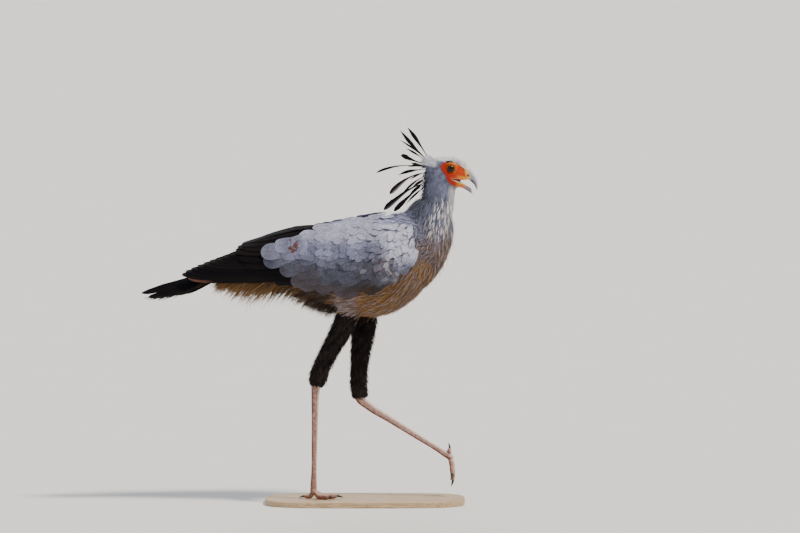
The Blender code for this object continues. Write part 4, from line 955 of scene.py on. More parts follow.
def body_tone(points, rng):
    """Lilac grey mantle, tawny breast and belly, sooty rear belly and rump. The tawny underside is partly a stain
    and partly painted shade and warm light reflected from below.
    """
    x, y, z = points.T
    top, bottom, _ = stations_at(TORSO, x).T
    height = (z - bottom) / np.maximum(top - bottom, 1e-3)
    lot = rng.uniform(0, 1, len(points))
    tone = mix(np.broadcast_to(GREY, points.shape), LILAC, 0.5 + 0.5 * drift(points, 0.06, 33))
    # Lower body in the belly's tawny: partly a stain, partly painted shade and warm reflected light.
    under = ramp(height + 0.06 * drift(points, 0.05, 34), 0.66, 0.42)
    belly = mix(np.broadcast_to(TAWNY, points.shape), OCHRE, ramp(lot, 0.3, 0.9))
    belly = mix(belly, UMBER, 0.55 * ramp(rng.uniform(0, 1, len(points)), 0.6, 1.0))
    belly = mix(belly, PALE * 0.85, 0.40 * ramp(lot, 0.25, 0.05))
    belly = mix(belly, SLATE, 0.55 * ramp(x, 0.05, 0.14) * ramp(rng.uniform(0, 1, len(points)), 0.45, 0.85))
    belly = mix(belly, PALE * 0.9, 0.4 * ramp(x, -0.01, -0.04) * ramp(x, -0.10, -0.07) * ramp(lot, 0.2, 0.7))
    belly = mix(belly, DUSK, 0.85 * ramp(x + 0.01 * drift(points, 0.03, 35), -0.075, -0.105))
    belly = mix(belly, OCHRE, 0.75 * ramp(x, -0.165, -0.20) * ramp(lot, 0.15, 0.5))
    chest = ramp(x + 0.01 * drift(points, 0.03, 58), 0.110, 0.150) * ramp(z, 0.800, 0.750)
    tone = mix(tone, mix(belly, SLATE, 0.6 * ramp(lot, 0.4, 0.7)), 0.9 * chest)
    tone = mix(tone, belly, under)
    rump = ramp(x + 0.01 * drift(points, 0.03, 36), -0.165, -0.20) * ramp(height, 0.35, 0.55)
    tone = mix(tone, BLACK, rump)
    return tone * rng.uniform(0.84, 1.12, len(points))[:, None]


def thigh_tone(points, rng):
    """Black feather breeches, a little browner where dust sits."""
    tone = mix(np.broadcast_to(BLACK, points.shape), DUSK, 0.60 + 0.5 * drift(points, 0.03, 37))
    return tone * rng.uniform(0.80, 1.70, len(points))[:, None]


# ---------------------------------------------------------------- skin

def beyond(points, plane):
    """Signed distance beyond a plane in the side view."""
    return (points - np.array(plane[0])) @ unit(np.array(plane[1]))


def wing_pad():
    """Arm of the right wing as a closed pad on the guide."""
    table = along_curve(WING_ARM, 40)
    share = np.linspace(1, -1, 18)
    x = np.repeat(table[:, :1], 18, axis=1)
    z = (table[:, 1:2] + table[:, 2:3]) / 2 + (table[:, 1:2] - table[:, 2:3]) / 2 * share
    here, normal = guide_frames(x, z)
    thick = table[:, 3:4] * (1 - 0.55 * share ** 6)
    return grid_pad(here + normal * thick[..., None], here - normal * 0.010)


def coat_depth(points):
    """How far the skin lies inside the feathers' outline."""
    depth = np.full(len(points), 0.0045)
    in_head = ramp(beyond(points, HEAD_CUT), -0.02, 0.02)
    depth = depth * (1 - in_head) + 0.0018 * in_head
    bare = ramp(in_outline(BARE_FACE, points[:, 0], points[:, 2]), -0.002, 0.002) * in_head
    leg = ramp(points[:, 2], 0.56, 0.50)
    depth = depth * (1 - leg) + 0.0034 * leg
    return depth * (1 - bare) + 0.0003 * bare


def face_relief(points, normals):
    """Sockets, lids and creases round the eyes, on both sides of the bare face."""
    x, y, z = points.T
    dx, dz = x - EYE[0], z - EYE[2]
    reach = np.hypot(dx, dz)
    side = np.where(y > 0, 1.0, -1.0)
    on_side = ramp(np.abs(normals[:, 1]), 0.15, 0.45) * ramp(beyond(points, HEAD_CUT), 0.0, 0.01)
    depth = np.abs(y)
    ball = EYE[1] + np.sqrt(np.maximum(EYE_RADIUS ** 2 - np.minimum(reach, 0.0125) ** 2, 0))
    rim = 0.0013 * np.exp(-((reach - 0.0118) / 0.0011) ** 2)
    crease = -0.0009 * np.exp(-((reach - 0.0141) / 0.0010) ** 2)
    lid = ball + 0.0005 + rim + crease
    lid = np.where(reach < 0.0104, lid - 0.0055 * ramp(reach, 0.0106, 0.0094), lid)
    share = ramp(reach, 0.0128, 0.0185)
    shaped = lid * (1 - share) + depth * share
    around = np.arctan2(dz, dx)
    brow = 0.0016 * np.exp(-((reach - 0.0178) / 0.0028) ** 2) * ramp(np.sin(around), 0.25, 0.8)
    bag = 0.0009 * np.exp(-((reach - 0.0165) / 0.0020) ** 2) * ramp(-np.sin(around), 0.2, 0.8)
    folds = 0.00028 * np.sin(reach * TAU / 0.0019 + 0.6 * np.sin(around * 5)) * ramp(reach, 0.0135, 0.0155)
    folds *= ramp(reach, 0.0300, 0.0220)
    bare = ramp(in_outline(BARE_FACE, x, z), 0.0, 0.004)
    shaped = shaped + (brow + bag + folds) * bare
    moved = points.copy()
    moved[:, 1] = side * (depth * (1 - on_side) + shaped * on_side)
    return moved


def build_skin():
    """One skin over head, neck, body, thighs and the arms of the wings."""
    rows = along_curve(NECK, 40)
    neck_path = np.stack([rows[:, 0], np.zeros(40), rows[:, 1]], 1)
    shells = [
        lofted(upright_rings(TORSO, 70, 64, TORSO_SQUARENESS)),
        lofted(tube_rings(neck_path, rows[:, 2], rows[:, 3], 48)),
        lofted(upright_rings(HEAD, 60, 56, HEAD_SQUARENESS)),
    ]
    for stations in (THIGH_RIGHT, THIGH_LEFT):
        shells.append(lofted(tube_rings(*limb_rows(stations, 40), 32)))
    pad = wing_pad()
    shells += [pad, mirrored(pad)]
    skin = new_mesh_object("bird_skin", *joined(shells))
    face_outwards(skin)
    applied(skin, [
        ("REMESH", {"mode": "VOXEL", "voxel_size": 0.0036, "use_smooth_shade": True}),
        ("SMOOTH", {"factor": 0.5, "iterations": 5}),
    ])
    edit = bmesh.new()
    edit.from_mesh(skin.data)
    for cuts in (1, 1):
        near = {e for f in edit.faces for e in f.edges
                if f.calc_center_median().x > 0.212 and f.calc_center_median().z > 0.900}
        bmesh.ops.subdivide_edges(edit, edges=list(near), cuts=cuts, use_grid_fill=True, smooth=0.0)
        inner = [v for v in edit.verts if v.co.x > 0.214 and v.co.z > 0.902]
        for _ in range(3):
            bmesh.ops.smooth_vert(edit, verts=inner, factor=0.5, use_axis_x=True, use_axis_y=True, use_axis_z=True)
    bmesh.ops.triangulate(edit, faces=[f for f in edit.faces if len(f.verts) > 4])
    edit.to_mesh(skin.data)
    edit.free()
    points, normals = mesh_points(skin), mesh_normals(skin)
    points = face_relief(points, normals)
    points = points - normals * coat_depth(points)[:, None]
    place_points(skin, points)
    return skin


def mouth_prism(grow=0.0):
    outline = [(GAPE_CORNER[0] - grow, GAPE_CORNER[1]), GAPE_UPPER, GAPE_LOWER]
    verts = [(x, side * 0.05, z) for side in (-1, 1) for x, z in outline]
    faces = [(0, 1, 2), (3, 5, 4), (0, 3, 4, 1), (1, 4, 5, 2), (2, 5, 3, 0)]
    return face_outwards(new_mesh_object("mouth_gap", verts, faces))


# ---------------------------------------------------------------- feathers

def smooth_rows(values):
    """Values averaged with their neighbours along each path."""
    padded = np.concatenate([values[:, :1], values, values[:, -1:]], axis=1)
    return (padded[:, :-2] + 2 * padded[:, 1:-1] + padded[:, 2:]) / 4


def lie(tree, roots, headings, lengths, steps):
    """Paths from each root that follow the skin, and the skin's normals along them."""
    path = np.empty((len(roots), len(steps), 3))
    out = np.empty_like(path)
    for i, (root, heading, length) in enumerate(zip(roots, headings, lengths)):
        point, way = Vector(root), Vector(heading)
        last = 0.0
        for k, step in enumerate(steps):
            point = point + way * (length * (step - last))
            last = step
            place, normal, _, _ = tree.find_nearest(point)
            way = (way - normal * way.dot(normal)).normalized()
            point = place
            path[i, k] = place
            out[i, k] = normal
    return path, unit(smooth_rows(smooth_rows(out)))


def unwrap(points, axis):
    """Places on an unwrap round an axis: share along it, and share of the turn round it."""
    axis = np.array(axis, float)
    steps = np.diff(axis, axis=0)
    lengths = np.linalg.norm(steps, axis=1)
    start = np.concatenate([[0.0], np.cumsum(lengths)])
    best = np.full(len(points), 1e9)
    along, turn = np.zeros(len(points)), np.zeros(len(points))
    for k, step in enumerate(steps):
        way = step / lengths[k]
        t = np.clip((points - axis[k]) @ way, 0, lengths[k])
        offset = points - axis[k] - t[:, None] * way
        distance = np.linalg.norm(offset, axis=1)
        side = unit(np.array((0.0, 1.0, 0.0)) - way[1] * way)
        up = np.cross(way, side)
        nearer = distance < best
        best = np.where(nearer, distance, best)
        along = np.where(nearer, start[k] + t, along)
        turn = np.where(nearer, np.arctan2(offset @ side, offset @ up), turn)
    return np.stack([0.02 + 0.96 * along / start[-1], 0.02 + 0.96 * (turn / TAU + 0.5)], 1)


class Coat:
    """Closed feathers gathered for one piece."""

    def __init__(self, name):
        self.name = name
        self.verts, self.faces, self.sizes, self.tones = [], [], [], []
        self.maps = {"OFBake": [], "vane": [], "share": []}
        self.count = 0

    def lay(self, path, normals, halves, thick, tones, places, patch=(0.003, 0.003), columns=3,
            camber=0.12, steps=None):
        """Adds feathers: paths (n, s, 3), normals, half widths (n, s) or (n, s, 2) for left and right,
        thickness, tone of each, and the place of each on the unwrap."""
        count, rows = path.shape[:2]
        ring = 2 * columns - 2
        ahead = unit(np.gradient(path, axis=1))
        across = unit(np.cross(normals, ahead))
        facing = np.cross(ahead, across)
        share = np.concatenate([np.linspace(-1, 1, columns), np.linspace(1, -1, columns)[1:-1]])
        top = np.concatenate([np.ones(columns), -np.ones(columns - 2)])
        halves = np.asarray(halves)
        if halves.ndim == 2:
            halves = np.stack([halves, halves], -1)
        width = np.where(share < 0, halves[..., :1], halves[..., 1:]) * share
        mean = halves.mean(-1, keepdims=True)
        rise = top * (1 - share ** 2) * np.broadcast_to(thick, (count, rows))[..., None] / 2
        rise = rise - camber * share ** 2 * mean
        verts = path[:, :, None] + across[:, :, None] * width[..., None] + facing[:, :, None] * rise[..., None]
        self.verts.append(verts.reshape(-1, 3))
        base = np.arange(count)[:, None, None] * rows * ring + self.count
        k = np.arange(rows - 1)[None, :, None] * ring
        i = np.arange(ring)[None, None, :]
        j = (i + 1) % ring
        quads = np.stack([base + k + i, base + k + ring + i, base + k + ring + j, base + k + j], -1)
        self.faces.append(quads.reshape(-1))
        self.sizes.append(np.full(quads.size // 4, 4))
        start = np.arange(count)[:, None] * rows * ring + self.count
        caps = np.stack([start + np.arange(ring), start + (rows - 1) * ring + np.arange(ring)[::-1]], 1)
        self.faces.append(caps.reshape(-1))
        self.sizes.append(np.full(count * 2, ring))
        self.count += count * rows * ring
        tones = np.broadcast_to(tones[:, None, None], (count, rows, ring, 3)) if tones.ndim == 2 else tones
        self.tones.append(tones.reshape(-1, 3))
        steps = np.linspace(0, 1, rows) if steps is None else np.asarray(steps)
        reach = np.concatenate([np.zeros((count, 1)), np.cumsum(np.linalg.norm(np.diff(path, axis=1), axis=2), 1)], 1)
        lay = np.stack([width, np.broadcast_to(reach[:, :, None], width.shape)], -1)
        shares = np.stack([np.broadcast_to(share, width.shape), np.broadcast_to(steps[:, None], width.shape)], -1)
        self.maps["vane"].append(lay.reshape(-1, 2))
        self.maps["share"].append(shares.reshape(-1, 2))
        spot = (shares * (0.5, 1.0) + (0.0, -0.5)) * np.array(patch)
        self.maps["OFBake"].append((spot + places[:, None, None]).reshape(-1, 2))

    def build(self):
        verts = np.concatenate(self.verts)
        loops = np.concatenate(self.faces)
        sizes = np.concatenate(self.sizes)
        mesh = bpy.data.meshes.new(self.name)
        mesh.vertices.add(len(verts))
        mesh.vertices.foreach_set("co", verts.ravel())
        mesh.loops.add(len(loops))
        mesh.loops.foreach_set("vertex_index", loops.astype(np.int32))
        mesh.polygons.add(len(sizes))
        mesh.polygons.foreach_set("loop_start", (np.cumsum(sizes) - sizes).astype(np.int32))
        mesh.polygons.foreach_set("use_smooth", np.ones(len(sizes), bool))
        mesh.update(calc_edges=True)
        for name, values in self.maps.items():
            layer = mesh.uv_layers.new(name=name)
            layer.uv.foreach_set("vector", np.concatenate(values)[loops].astype(np.float32).ravel())
        set_colours(mesh, "plumage", np.concatenate(self.tones))
        obj = bpy.data.objects.new(self.name, mesh)
        bpy.context.scene.collection.objects.link(obj)
        return obj


def scatter_tree():
    """Points spread evenly over a surface, no closer than a given distance."""
    tree = bpy.data.node_groups.new("feather_roots", "GeometryNodeTree")
    for name, kind in (("Skin", "NodeSocketGeometry"), ("Spacing", "NodeSocketFloat"),
                       ("Where", "NodeSocketString"), ("Seed", "NodeSocketInt")):
        tree.interface.new_socket(name, in_out="INPUT", socket_type=kind)
    tree.interface.new_socket("Roots", in_out="OUTPUT", socket_type="NodeSocketGeometry")
    given = add(tree, "NodeGroupInput")
    factor = add(tree, "GeometryNodeInputNamedAttribute", {"Name": given.outputs["Where"]}, data_type="FLOAT")
    square = add(tree, "ShaderNodeMath", {0: given.outputs["Spacing"], 1: 2.0}, operation="POWER")
    density = add(tree, "ShaderNodeMath", {0: 3.0, 1: square.outputs[0]}, operation="DIVIDE")
    spread_points = add(tree, "GeometryNodeDistributePointsOnFaces", {
        "Mesh": given.outputs["Skin"], "Distance Min": given.outputs["Spacing"],
        "Density Max": density.outputs[0], "Density Factor": factor.outputs["Attribute"],
        "Seed": given.outputs["Seed"],
    }, distribute_method="POISSON")
    verts = add(tree, "GeometryNodePointsToVertices", {0: spread_points.outputs["Points"]})
    add(tree, "NodeGroupOutput", {"Roots": verts.outputs[0]})
    return tree


def scatter(skin, tree, where, spacing, seed):
    """Feather roots on the part of the skin where a mask is, at least a spacing apart."""
    attribute = skin.data.attributes.get("root_mask") or skin.data.attributes.new("root_mask", "FLOAT", "POINT")
    attribute.data.foreach_set("value", where.astype(np.float32))
    modifier = skin.modifiers.new("roots", "NODES")
    modifier.node_group = tree
    settings = {"Spacing": spacing, "Where": "root_mask", "Seed": seed}
    for item in tree.interface.items_tree:
        if item.in_out == "INPUT" and item.name in settings:
            modifier[item.identifier] = settings[item.name]
    bpy.context.view_layer.update()
    mesh = bpy.data.meshes.new_from_object(skin.evaluated_get(bpy.context.evaluated_depsgraph_get()))
    skin.modifiers.clear()
    flat = np.empty(len(mesh.vertices) * 3)
    mesh.vertices.foreach_get("co", flat)
    bpy.data.meshes.remove(mesh)
    return flat.reshape(-1, 3)


def turned(headings, normals, angle):
    """Headings turned about the normals."""
    side = np.cross(normals, headings)
    return headings * np.cos(angle)[:, None] + side * np.sin(angle)[:, None]


def skin_normals(tree, points):
    return np.array([tree.find_nearest(Vector(p))[1] for p in points]).reshape(-1, 3)


def grow(coat, tree, roots, headings, axis, tone, rng, length, half, steps, shape, rise, jitter=0.14,
         thick=0.0005, loose=0.0, camber=0.12, columns=3):
    """Lays one kind of small feather on the skin. Length and half width are numbers or one for each root."""
    count = len(roots)
    normals = skin_normals(tree, roots)
    headings = unit(headings - normals * np.sum(headings * normals, 1, keepdims=True))
    headings = turned(headings, normals, rng.normal(0, jitter, count))
    lengths = np.broadcast_to(length, count) * rng.uniform(0.82, 1.18, count)
    path, out = lie(tree, roots, headings, lengths, steps)
    steps = np.array(steps)
    height = np.array(rise)[None] * rng.uniform(0.75, 1.25, (count, 1))
    height = height + loose * rng.uniform(0, 1, (count, 1)) ** 3 * steps ** 2
    path = path + out * height[..., None]
    sway = np.cross(out, unit(np.gradient(path, axis=1)))
    path = path + sway * (rng.normal(0, 0.05, count) * lengths)[:, None, None] * (steps ** 2)[:, None]
    halves = (np.broadcast_to(half, count) * rng.uniform(0.85, 1.15, count))[:, None] * np.array(shape)
    coat.lay(path, out, halves, thick, tone(path[:, len(steps) // 2], rng), unwrap(roots, axis),
             camber=camber, steps=steps, columns=columns)


SMALL_STEPS = (0.0, 0.35, 0.75, 1.0)
SMALL_SHAPE = (0.55, 1.0, 0.80, 0.10)
ROUND_STEPS = (0.0, 0.30, 0.62, 0.86, 1.0)
ROUND_SHAPE = (0.50, 0.95, 1.0, 0.74, 0.16)
POINT_STEPS = (0.0, 0.25, 0.55, 0.82, 1.0)
POINT_SHAPE = (0.55, 1.0, 0.85, 0.45, 0.05)

HEAD_AXIS = ((0.170, 0.0, 0.955), (0.300, 0.0, 0.965))
NECK_AXIS = tuple((row[0], 0.0, row[1]) for row in NECK)
FRINGE_AXIS = ((-0.06, 0.0, 0.620), (-0.25, 0.0, 0.665), (-0.42, 0.0, 0.670), (-0.65, 0.0, 0.620))
BODY_AXIS = ((0.215, 0.0, 0.700), (0.10, 0.0, 0.700), (-0.05, 0.0, 0.695), (-0.20, 0.0, 0.705), (-0.34, 0.0, 0.705))


LONG_STEPS = np.array((0.0, 0.05, 0.12, 0.22, 0.34, 0.46, 0.58, 0.68, 0.77, 0.84, 0.90, 0.945, 0.975, 0.993, 1.0))
LONG_SHAPE = np.array((0.35, 0.62, 0.82, 0.94, 1.0, 1.0, 1.0, 0.99, 0.97, 0.93, 0.84, 0.69, 0.49, 0.24, 0.06))
COVERT_PLACES = np.array((0.0, 0.25, 0.48, 0.66, 0.80, 0.89, 0.95, 0.985, 1.0))
COVERT_OUTLINE = np.array((0.55, 0.82, 0.96, 1.0, 0.95, 0.80, 0.58, 0.32, 0.06))


def frayed(shape, count, rng, amount):
    """Half widths of both sides of many feathers, with uneven, worn edges."""
    edges = np.repeat(np.broadcast_to(shape, (count, len(shape)))[..., None], 2, axis=2)
    return edges * (1 + amount * rng.normal(0, 1, edges.shape) * np.linspace(0.3, 1.0, len(shape))[:, None])


def shafts(coat, path, facing, thickness, tones, places, patch, radius):
    """Quills that stand proud of their feathers and thin out towards the tips."""
    rows = path.shape[1]
    taper = np.linspace(1.0, 0.15, rows) * radius
    inner = np.minimum(np.linspace(0.0, 0.97, rows), 1.0)
    steps = np.linspace(0, 1, rows)
    shifted = np.stack([[np.interp(inner, steps, line[:, k]) for k in range(3)] for line in path])
    shifted = np.moveaxis(shifted, 1, 2) + facing * (thickness / 2)
    coat.lay(shifted, facing, np.broadcast_to(taper, path.shape[:2]), taper * 2.2, tones, places, patch,
             camber=0.0)


def wing_lay(points, lifts, tilt):
    """Paths and facings on the right wing's guide through points of x and z (n, s, 2)."""
    here, normal = guide_frames(points[..., 0], points[..., 1])
    path = here + normal * lifts[..., None]
    ahead = unit(np.gradient(path, axis=1))
    down = unit(np.cross(normal, ahead))
    return path, unit(normal * math.cos(tilt) - down * math.sin(tilt))


def covert_heading(x, z):
    """The way coverts point in the side view: down and back at the wrist, and back at the rear."""
    fall = np.radians(16) + np.radians(50) * np.clip((x + 0.20) / 0.34, 0, 1) ** 1.4
    fall = fall - np.radians(22) * np.clip((z - 0.70) / 0.13, 0, 1)
    return np.stack([-np.cos(fall), -np.sin(fall)], -1)


# Rows of large coverts from the edge inwards: how far the tips stand back from it, how many, length, half width.
COVERT_ROWS = (
    (0.000, 21, 0.090, 0.0235),
    (0.032, 24, 0.080, 0.0205),
    (0.058, 27, 0.072, 0.0180),
    (0.080, 31, 0.062, 0.0156),
    (0.099, 35, 0.052, 0.0134),
)
BACK_EDGE = ((-0.1740, 0.7900), (-0.1100, 0.8020), (-0.0600, 0.8110), (0.0000, 0.8160))


def covert_tone(points, rng, lot=None):
    """Lilac grey coverts, mottled with brown at the wrist and dark along the lower edge. Palest above the wrist
    and at the top, darker low down and in a slate band: partly their own greys and partly painted light and
    shade, with a painted shadow of the crest in the band.
    """
    x, _, z = points.T
    lot = rng.uniform(0, 1, len(points)) if lot is None else lot
    tone = mix(np.broadcast_to(LILAC, points.shape) * 0.88, GREY * 0.68, 0.5 + 0.7 * drift(points, 0.05, 38))
    # Darker low down: the coverts' own darker grey with painted shade.
    low = ramp(z + 0.12 * (x + 0.1), 0.755, 0.680)
    tone = mix(tone, SLATE * 0.44, 0.86 * low)
    tone = mix(tone, UMBER, 0.30 * low * ramp(drift(points, 0.04, 39), -0.3, 0.8))
    # A slate band across the middle: the coverts' blue-grey with a painted shadow of the crest.
    band = np.exp(-((z - 0.722 - 0.35 * (x - 0.02)) / 0.034) ** 2) * ramp(x, -0.13, -0.05) * ramp(x, 0.11, 0.05)
    tone = mix(tone, SLATE * 0.6, 0.85 * band * (0.75 + 0.5 * drift(points, 0.02, 54)))
    # Painted highlight: palest above the wrist.
    tone = mix(tone, PALE * 1.15, 0.9 * ramp(x + 0.2 * (z - 0.77), 0.035, 0.085) * ramp(z, 0.700, 0.740))
    # Paler towards the top: partly their own paler grey, partly painted light on the top.
    tone = mix(tone, PALE, 0.55 * ramp(z, 0.755, 0.790))
    wrist = np.exp(-((x - 0.055) / 0.050) ** 2 - ((z - 0.700) / 0.034) ** 2)
    fleck = 0.45 * lot + 0.55 * (0.5 + 0.7 * drift(points, 0.008, 57))
    tone = mix(tone, DUSK, 0.8 * wrist * ramp(fleck, 0.56, 0.70))
    tone = mix(tone, RUFOUS, 0.35 * wrist * ramp(fleck, 0.24, 0.14))
    tone = mix(tone, WHITE, 0.45 * wrist * ramp(fleck, 0.46, 0.38) * ramp(fleck, 0.24, 0.30))
    edge = np.exp(-((x - 0.015) / 0.080) ** 2) * ramp(z, 0.672, 0.645)
    tone = mix(tone, DUSK, 0.95 * edge * ramp(lot, 0.05, 0.30))
    tone = mix(tone, UMBER * 0.8, 0.45 * ramp(z + 0.15 * x, 0.660, 0.620))
    patch = np.exp(-((x + 0.210) / 0.018) ** 8 - ((z - 0.750 - 0.25 * (x + 0.210)) / 0.011) ** 8)
    tone = mix(tone, RUFOUS * 0.65 + GREY * 0.05, patch)
    return tone * (0.92 + 0.15 * (lot * 7.3 % 1.0))[:, None]


def reach_to_edge(outline, x, z):
    """How far each place is from the outline's edge in the way that coverts point."""
    heading = covert_heading(x, z)
    far = np.zeros(len(x))
    for step in np.linspace(0.01, 0.30, 30):
        inside = in_outline(outline, x + heading[:, 0] * step, z + heading[:, 1] * step) > 0
        far = np.where(inside, step, far)
    return far


def wing_coverts(side, look, rng, tree, roots):
    """Overlapping rows of large rounded coverts from the wing's edge inwards, then small ones on the rest."""
    coat = Coat(f"wing_{side}_coverts")
    sign = 1.0 if side == "right" else -1.0
    edge = COVERT_EDGE + BACK_EDGE
    for inset, count, length, half in COVERT_ROWS:
        shares = (np.arange(count) + 0.5 + rng.uniform(-0.22, 0.22, count)) / count
        spots = along_curve(edge, shares)
        heading = covert_heading(*spots.T)
        turn = rng.normal(0, 0.07, count)
        heading = np.stack([heading[:, 0] * np.cos(turn) - heading[:, 1] * np.sin(turn),
                            heading[:, 0] * np.sin(turn) + heading[:, 1] * np.cos(turn)], 1)
        tips = spots - heading * (inset + rng.uniform(-0.006, 0.006, count))[:, None]
        front = ramp(tips[:, 0], -0.02, 0.09)
        back = ramp(spots[:, 1], 0.772, 0.800)
        lengths = length * (1 - 0.40 * np.maximum(front, back)) * rng.uniform(0.92, 1.08, count)
        points = tips[:, None] - heading[:, None] * (lengths[:, None] * (1 - COVERT_PLACES))[..., None]
        upper, _, _ = stations_at(WING_ARM, tips[:, 0]).T
        keep = (points[:, 0, 0] < 0.148) & (tips[:, 1] < upper + 0.004)
        points, front = points[keep], np.maximum(front, 1.3 * back)[keep]
        count = len(points)
        lifts = arm_heights(points[..., 0], points[..., 1])
        rise = np.interp(COVERT_PLACES, (0.0, 0.5, 1.0), (-0.0008, 0.0012, 0.0022))
        rise = rise + 0.0030 * ramp(points[..., 0], -0.20, -0.26)
        path, facing = wing_lay(points, lifts + rise * rng.uniform(0.8, 1.25, (count, 1)), math.radians(2.6))
        path = path + facing * (0.0012 * drift(path.reshape(-1, 3), 0.045, 53).reshape(count, -1, 1))
        size = half * (1 - 0.35 * front) * rng.uniform(0.88, 1.12, count)
        halves = size[:, None, None] * frayed(COVERT_OUTLINE, count, rng, 0.035)
        lot = np.repeat(rng.uniform(0, 1, count), len(COVERT_PLACES))
        tones = covert_tone(path.reshape(-1, 3), rng, lot).reshape(count, -1, 1, 3)
        places = unwrap(path[:, 0], BODY_AXIS)
        path, facing = path * (1, sign, 1), facing * (1, sign, 1)
        coat.lay(path, facing, halves, 0.0008, np.broadcast_to(tones, (count, len(COVERT_PLACES), 12, 3)), places,
                 columns=7, camber=0.075, steps=COVERT_PLACES)
        shafts(coat, path, facing, 0.0008, tones[:, 4, 0] * 0.6, places, (0.003, 0.003), 0.0003)
    # The small ones shorten towards the wrist and the front.
    front = ramp(roots[:, 0], -0.07, 0.09)
    heading = covert_heading(roots[:, 0], roots[:, 2])
    headings = np.stack([heading[:, 0], np.zeros(len(roots)), heading[:, 1]], 1)
    grow(coat, tree, roots, headings, BODY_AXIS, covert_tone, rng, 0.046 - 0.015 * front, 0.0110 - 0.0042 * front,
         ROUND_STEPS, ROUND_SHAPE, (0.0010, 0.0046, 0.0064, 0.0074, 0.0074), jitter=0.20, thick=0.0006,
         loose=0.003, camber=0.10, columns=5)
    finish_piece(coat.build(), [look], (f"wing_{side}",), sharp=50)


def flight_tone(count, rng):
    tone = mix(np.broadcast_to(BLACK, (count, 3)), DUSK, rng.uniform(0.0, 0.35, count))
    return tone * rng.uniform(0.75, 1.1, count)[:, None]


def flight_feathers(side, look, rng):
    """Primaries, then secondaries with the tertials, each fanned out from the arm to its own tip."""
    coat = Coat(f"wing_{side}_flight_feathers")
    sign = 1.0 if side == "right" else -1.0
    sets = (
        (PRIMARY_TIPS, PRIMARY_ROOTS, PRIMARY_LIFTS, 0.0135, math.radians(11.0), 0.0),
        (SECONDARY_TIPS, SECONDARY_ROOTS, SECONDARY_LIFTS, 0.0150, math.radians(7.5), 0.425),
        (TERTIAL_TIPS, TERTIAL_ROOTS, TERTIAL_LIFTS, 0.0165, math.radians(5.0), 0.765),
    )
    for tips, roots, lifts, half, tilt, shelf in sets:
        count = len(tips)
        share = np.linspace(0, 1, count)[:, None]
        root = np.array(roots[0]) * (1 - share) + np.array(roots[1]) * share
        tip = np.array(tips)
        sag = 0.010 * np.sin(LONG_STEPS * math.pi)
        points = root[:, None] * (1 - LONG_STEPS[:, None]) + tip[:, None] * LONG_STEPS[:, None]
        points[..., 1] += sag * (0.5 - share)
        lift = lifts[0] * (1 - share) + lifts[1] * share
        sunk = np.interp(LONG_STEPS, (0.0, 0.30), (0.1 if tips is TERTIAL_TIPS else 0.94, 1.0))
        path, facing = wing_lay(points, lift * sunk, tilt)
        halves = half * frayed(LONG_SHAPE, count, rng, 0.022)
        tones = np.broadcast_to(flight_tone(count, rng)[:, None, None], (count, len(LONG_STEPS), 12, 3))
        if side == "right" and tips is PRIMARY_TIPS:
            wear_and_lit_side = ramp(points[..., 0], -0.452, -0.466) * ramp(points[..., 0], -0.524, -0.512)
            wear_and_lit_side = (wear_and_lit_side * (np.arange(count) == count - 1)[:, None])[..., None, None]
            tones = tones * (1 - wear_and_lit_side) + WORN * wear_and_lit_side
        path, facing = path * (1, sign, 1), facing * (1, sign, 1)
        places = np.stack([0.038 + shelf + np.arange(count) * 0.0425, np.full(count, 0.5)], 1)
        patch = (0.036, 0.94)
        coat.lay(path, facing, halves, 0.0008, tones, places, patch, columns=7, camber=0.135, steps=LONG_STEPS)
        shafts(coat, path, facing, 0.0008, tones[:, 0, 0] * 0.6, places, (0.002, 0.94), 0.0009)
    finish_piece(coat.build(), [look], sharp=50)


def tail_feathers(look, rng):
    """Twelve tail feathers in a shallow roof, the middle pair the longest and on top."""
    coat = Coat("tail_feathers")
    halves_of = (0.0128, 0.0126, 0.0122, 0.0118, 0.0112, 0.0107)
    steps = LONG_STEPS
    for side in (-1, 1):
        for rank, (tip_x, share) in enumerate(TAIL_FEATHERS):
            xs = TAIL[0][0] + (tip_x - TAIL[0][0]) * steps
            ridge, edge, half = stations_at(TAIL, xs).T
            fan = 0.08 + (share - 0.08) * steps if rank else 0.05 + 0.25 * steps
            offset = np.maximum(half * fan, 0.0006 + rank * 0.0012)
            slope = (ridge - edge) / half
            drop = 0.0015 * rank * (1.0 - 0.35 * steps) + (0.0006 if side > 0 else 0.0)
            path = np.stack([xs, side * offset, ridge - slope * offset - drop], 1)[None]
            across = unit(np.stack([np.zeros(len(xs)), np.full(len(xs), side * 1.0), -slope], 1))[None]
            facing = unit(np.cross(across, np.gradient(path, axis=1))) * -side
            widths = halves_of[rank] * frayed(LONG_SHAPE, 1, rng, 0.025)
            tones = flight_tone(1, rng)
            if side < 0 and rank == 2:
                wear_and_lit_side = (ramp(xs, -0.452, -0.462) * ramp(xs, -0.522, -0.508))[None, :, None, None]
                tones = tones[:, None, None] * (1 - wear_and_lit_side) + WORN * wear_and_lit_side
                tones = np.broadcast_to(tones, (1, len(steps), 12, 3))
            places = np.array([[0.06 + 0.075 * (rank + (6 if side > 0 else 0)), 0.5]])
            coat.lay(path, facing, widths, 0.0009, tones, places, (0.06, 0.94), columns=7, camber=0.10,
                     steps=steps)
            shafts(coat, path, facing, 0.0009, flight_tone(1, rng), places, (0.004, 0.94), 0.0010)
    finish_piece(coat.build(), [look], ("tail",), sharp=50)


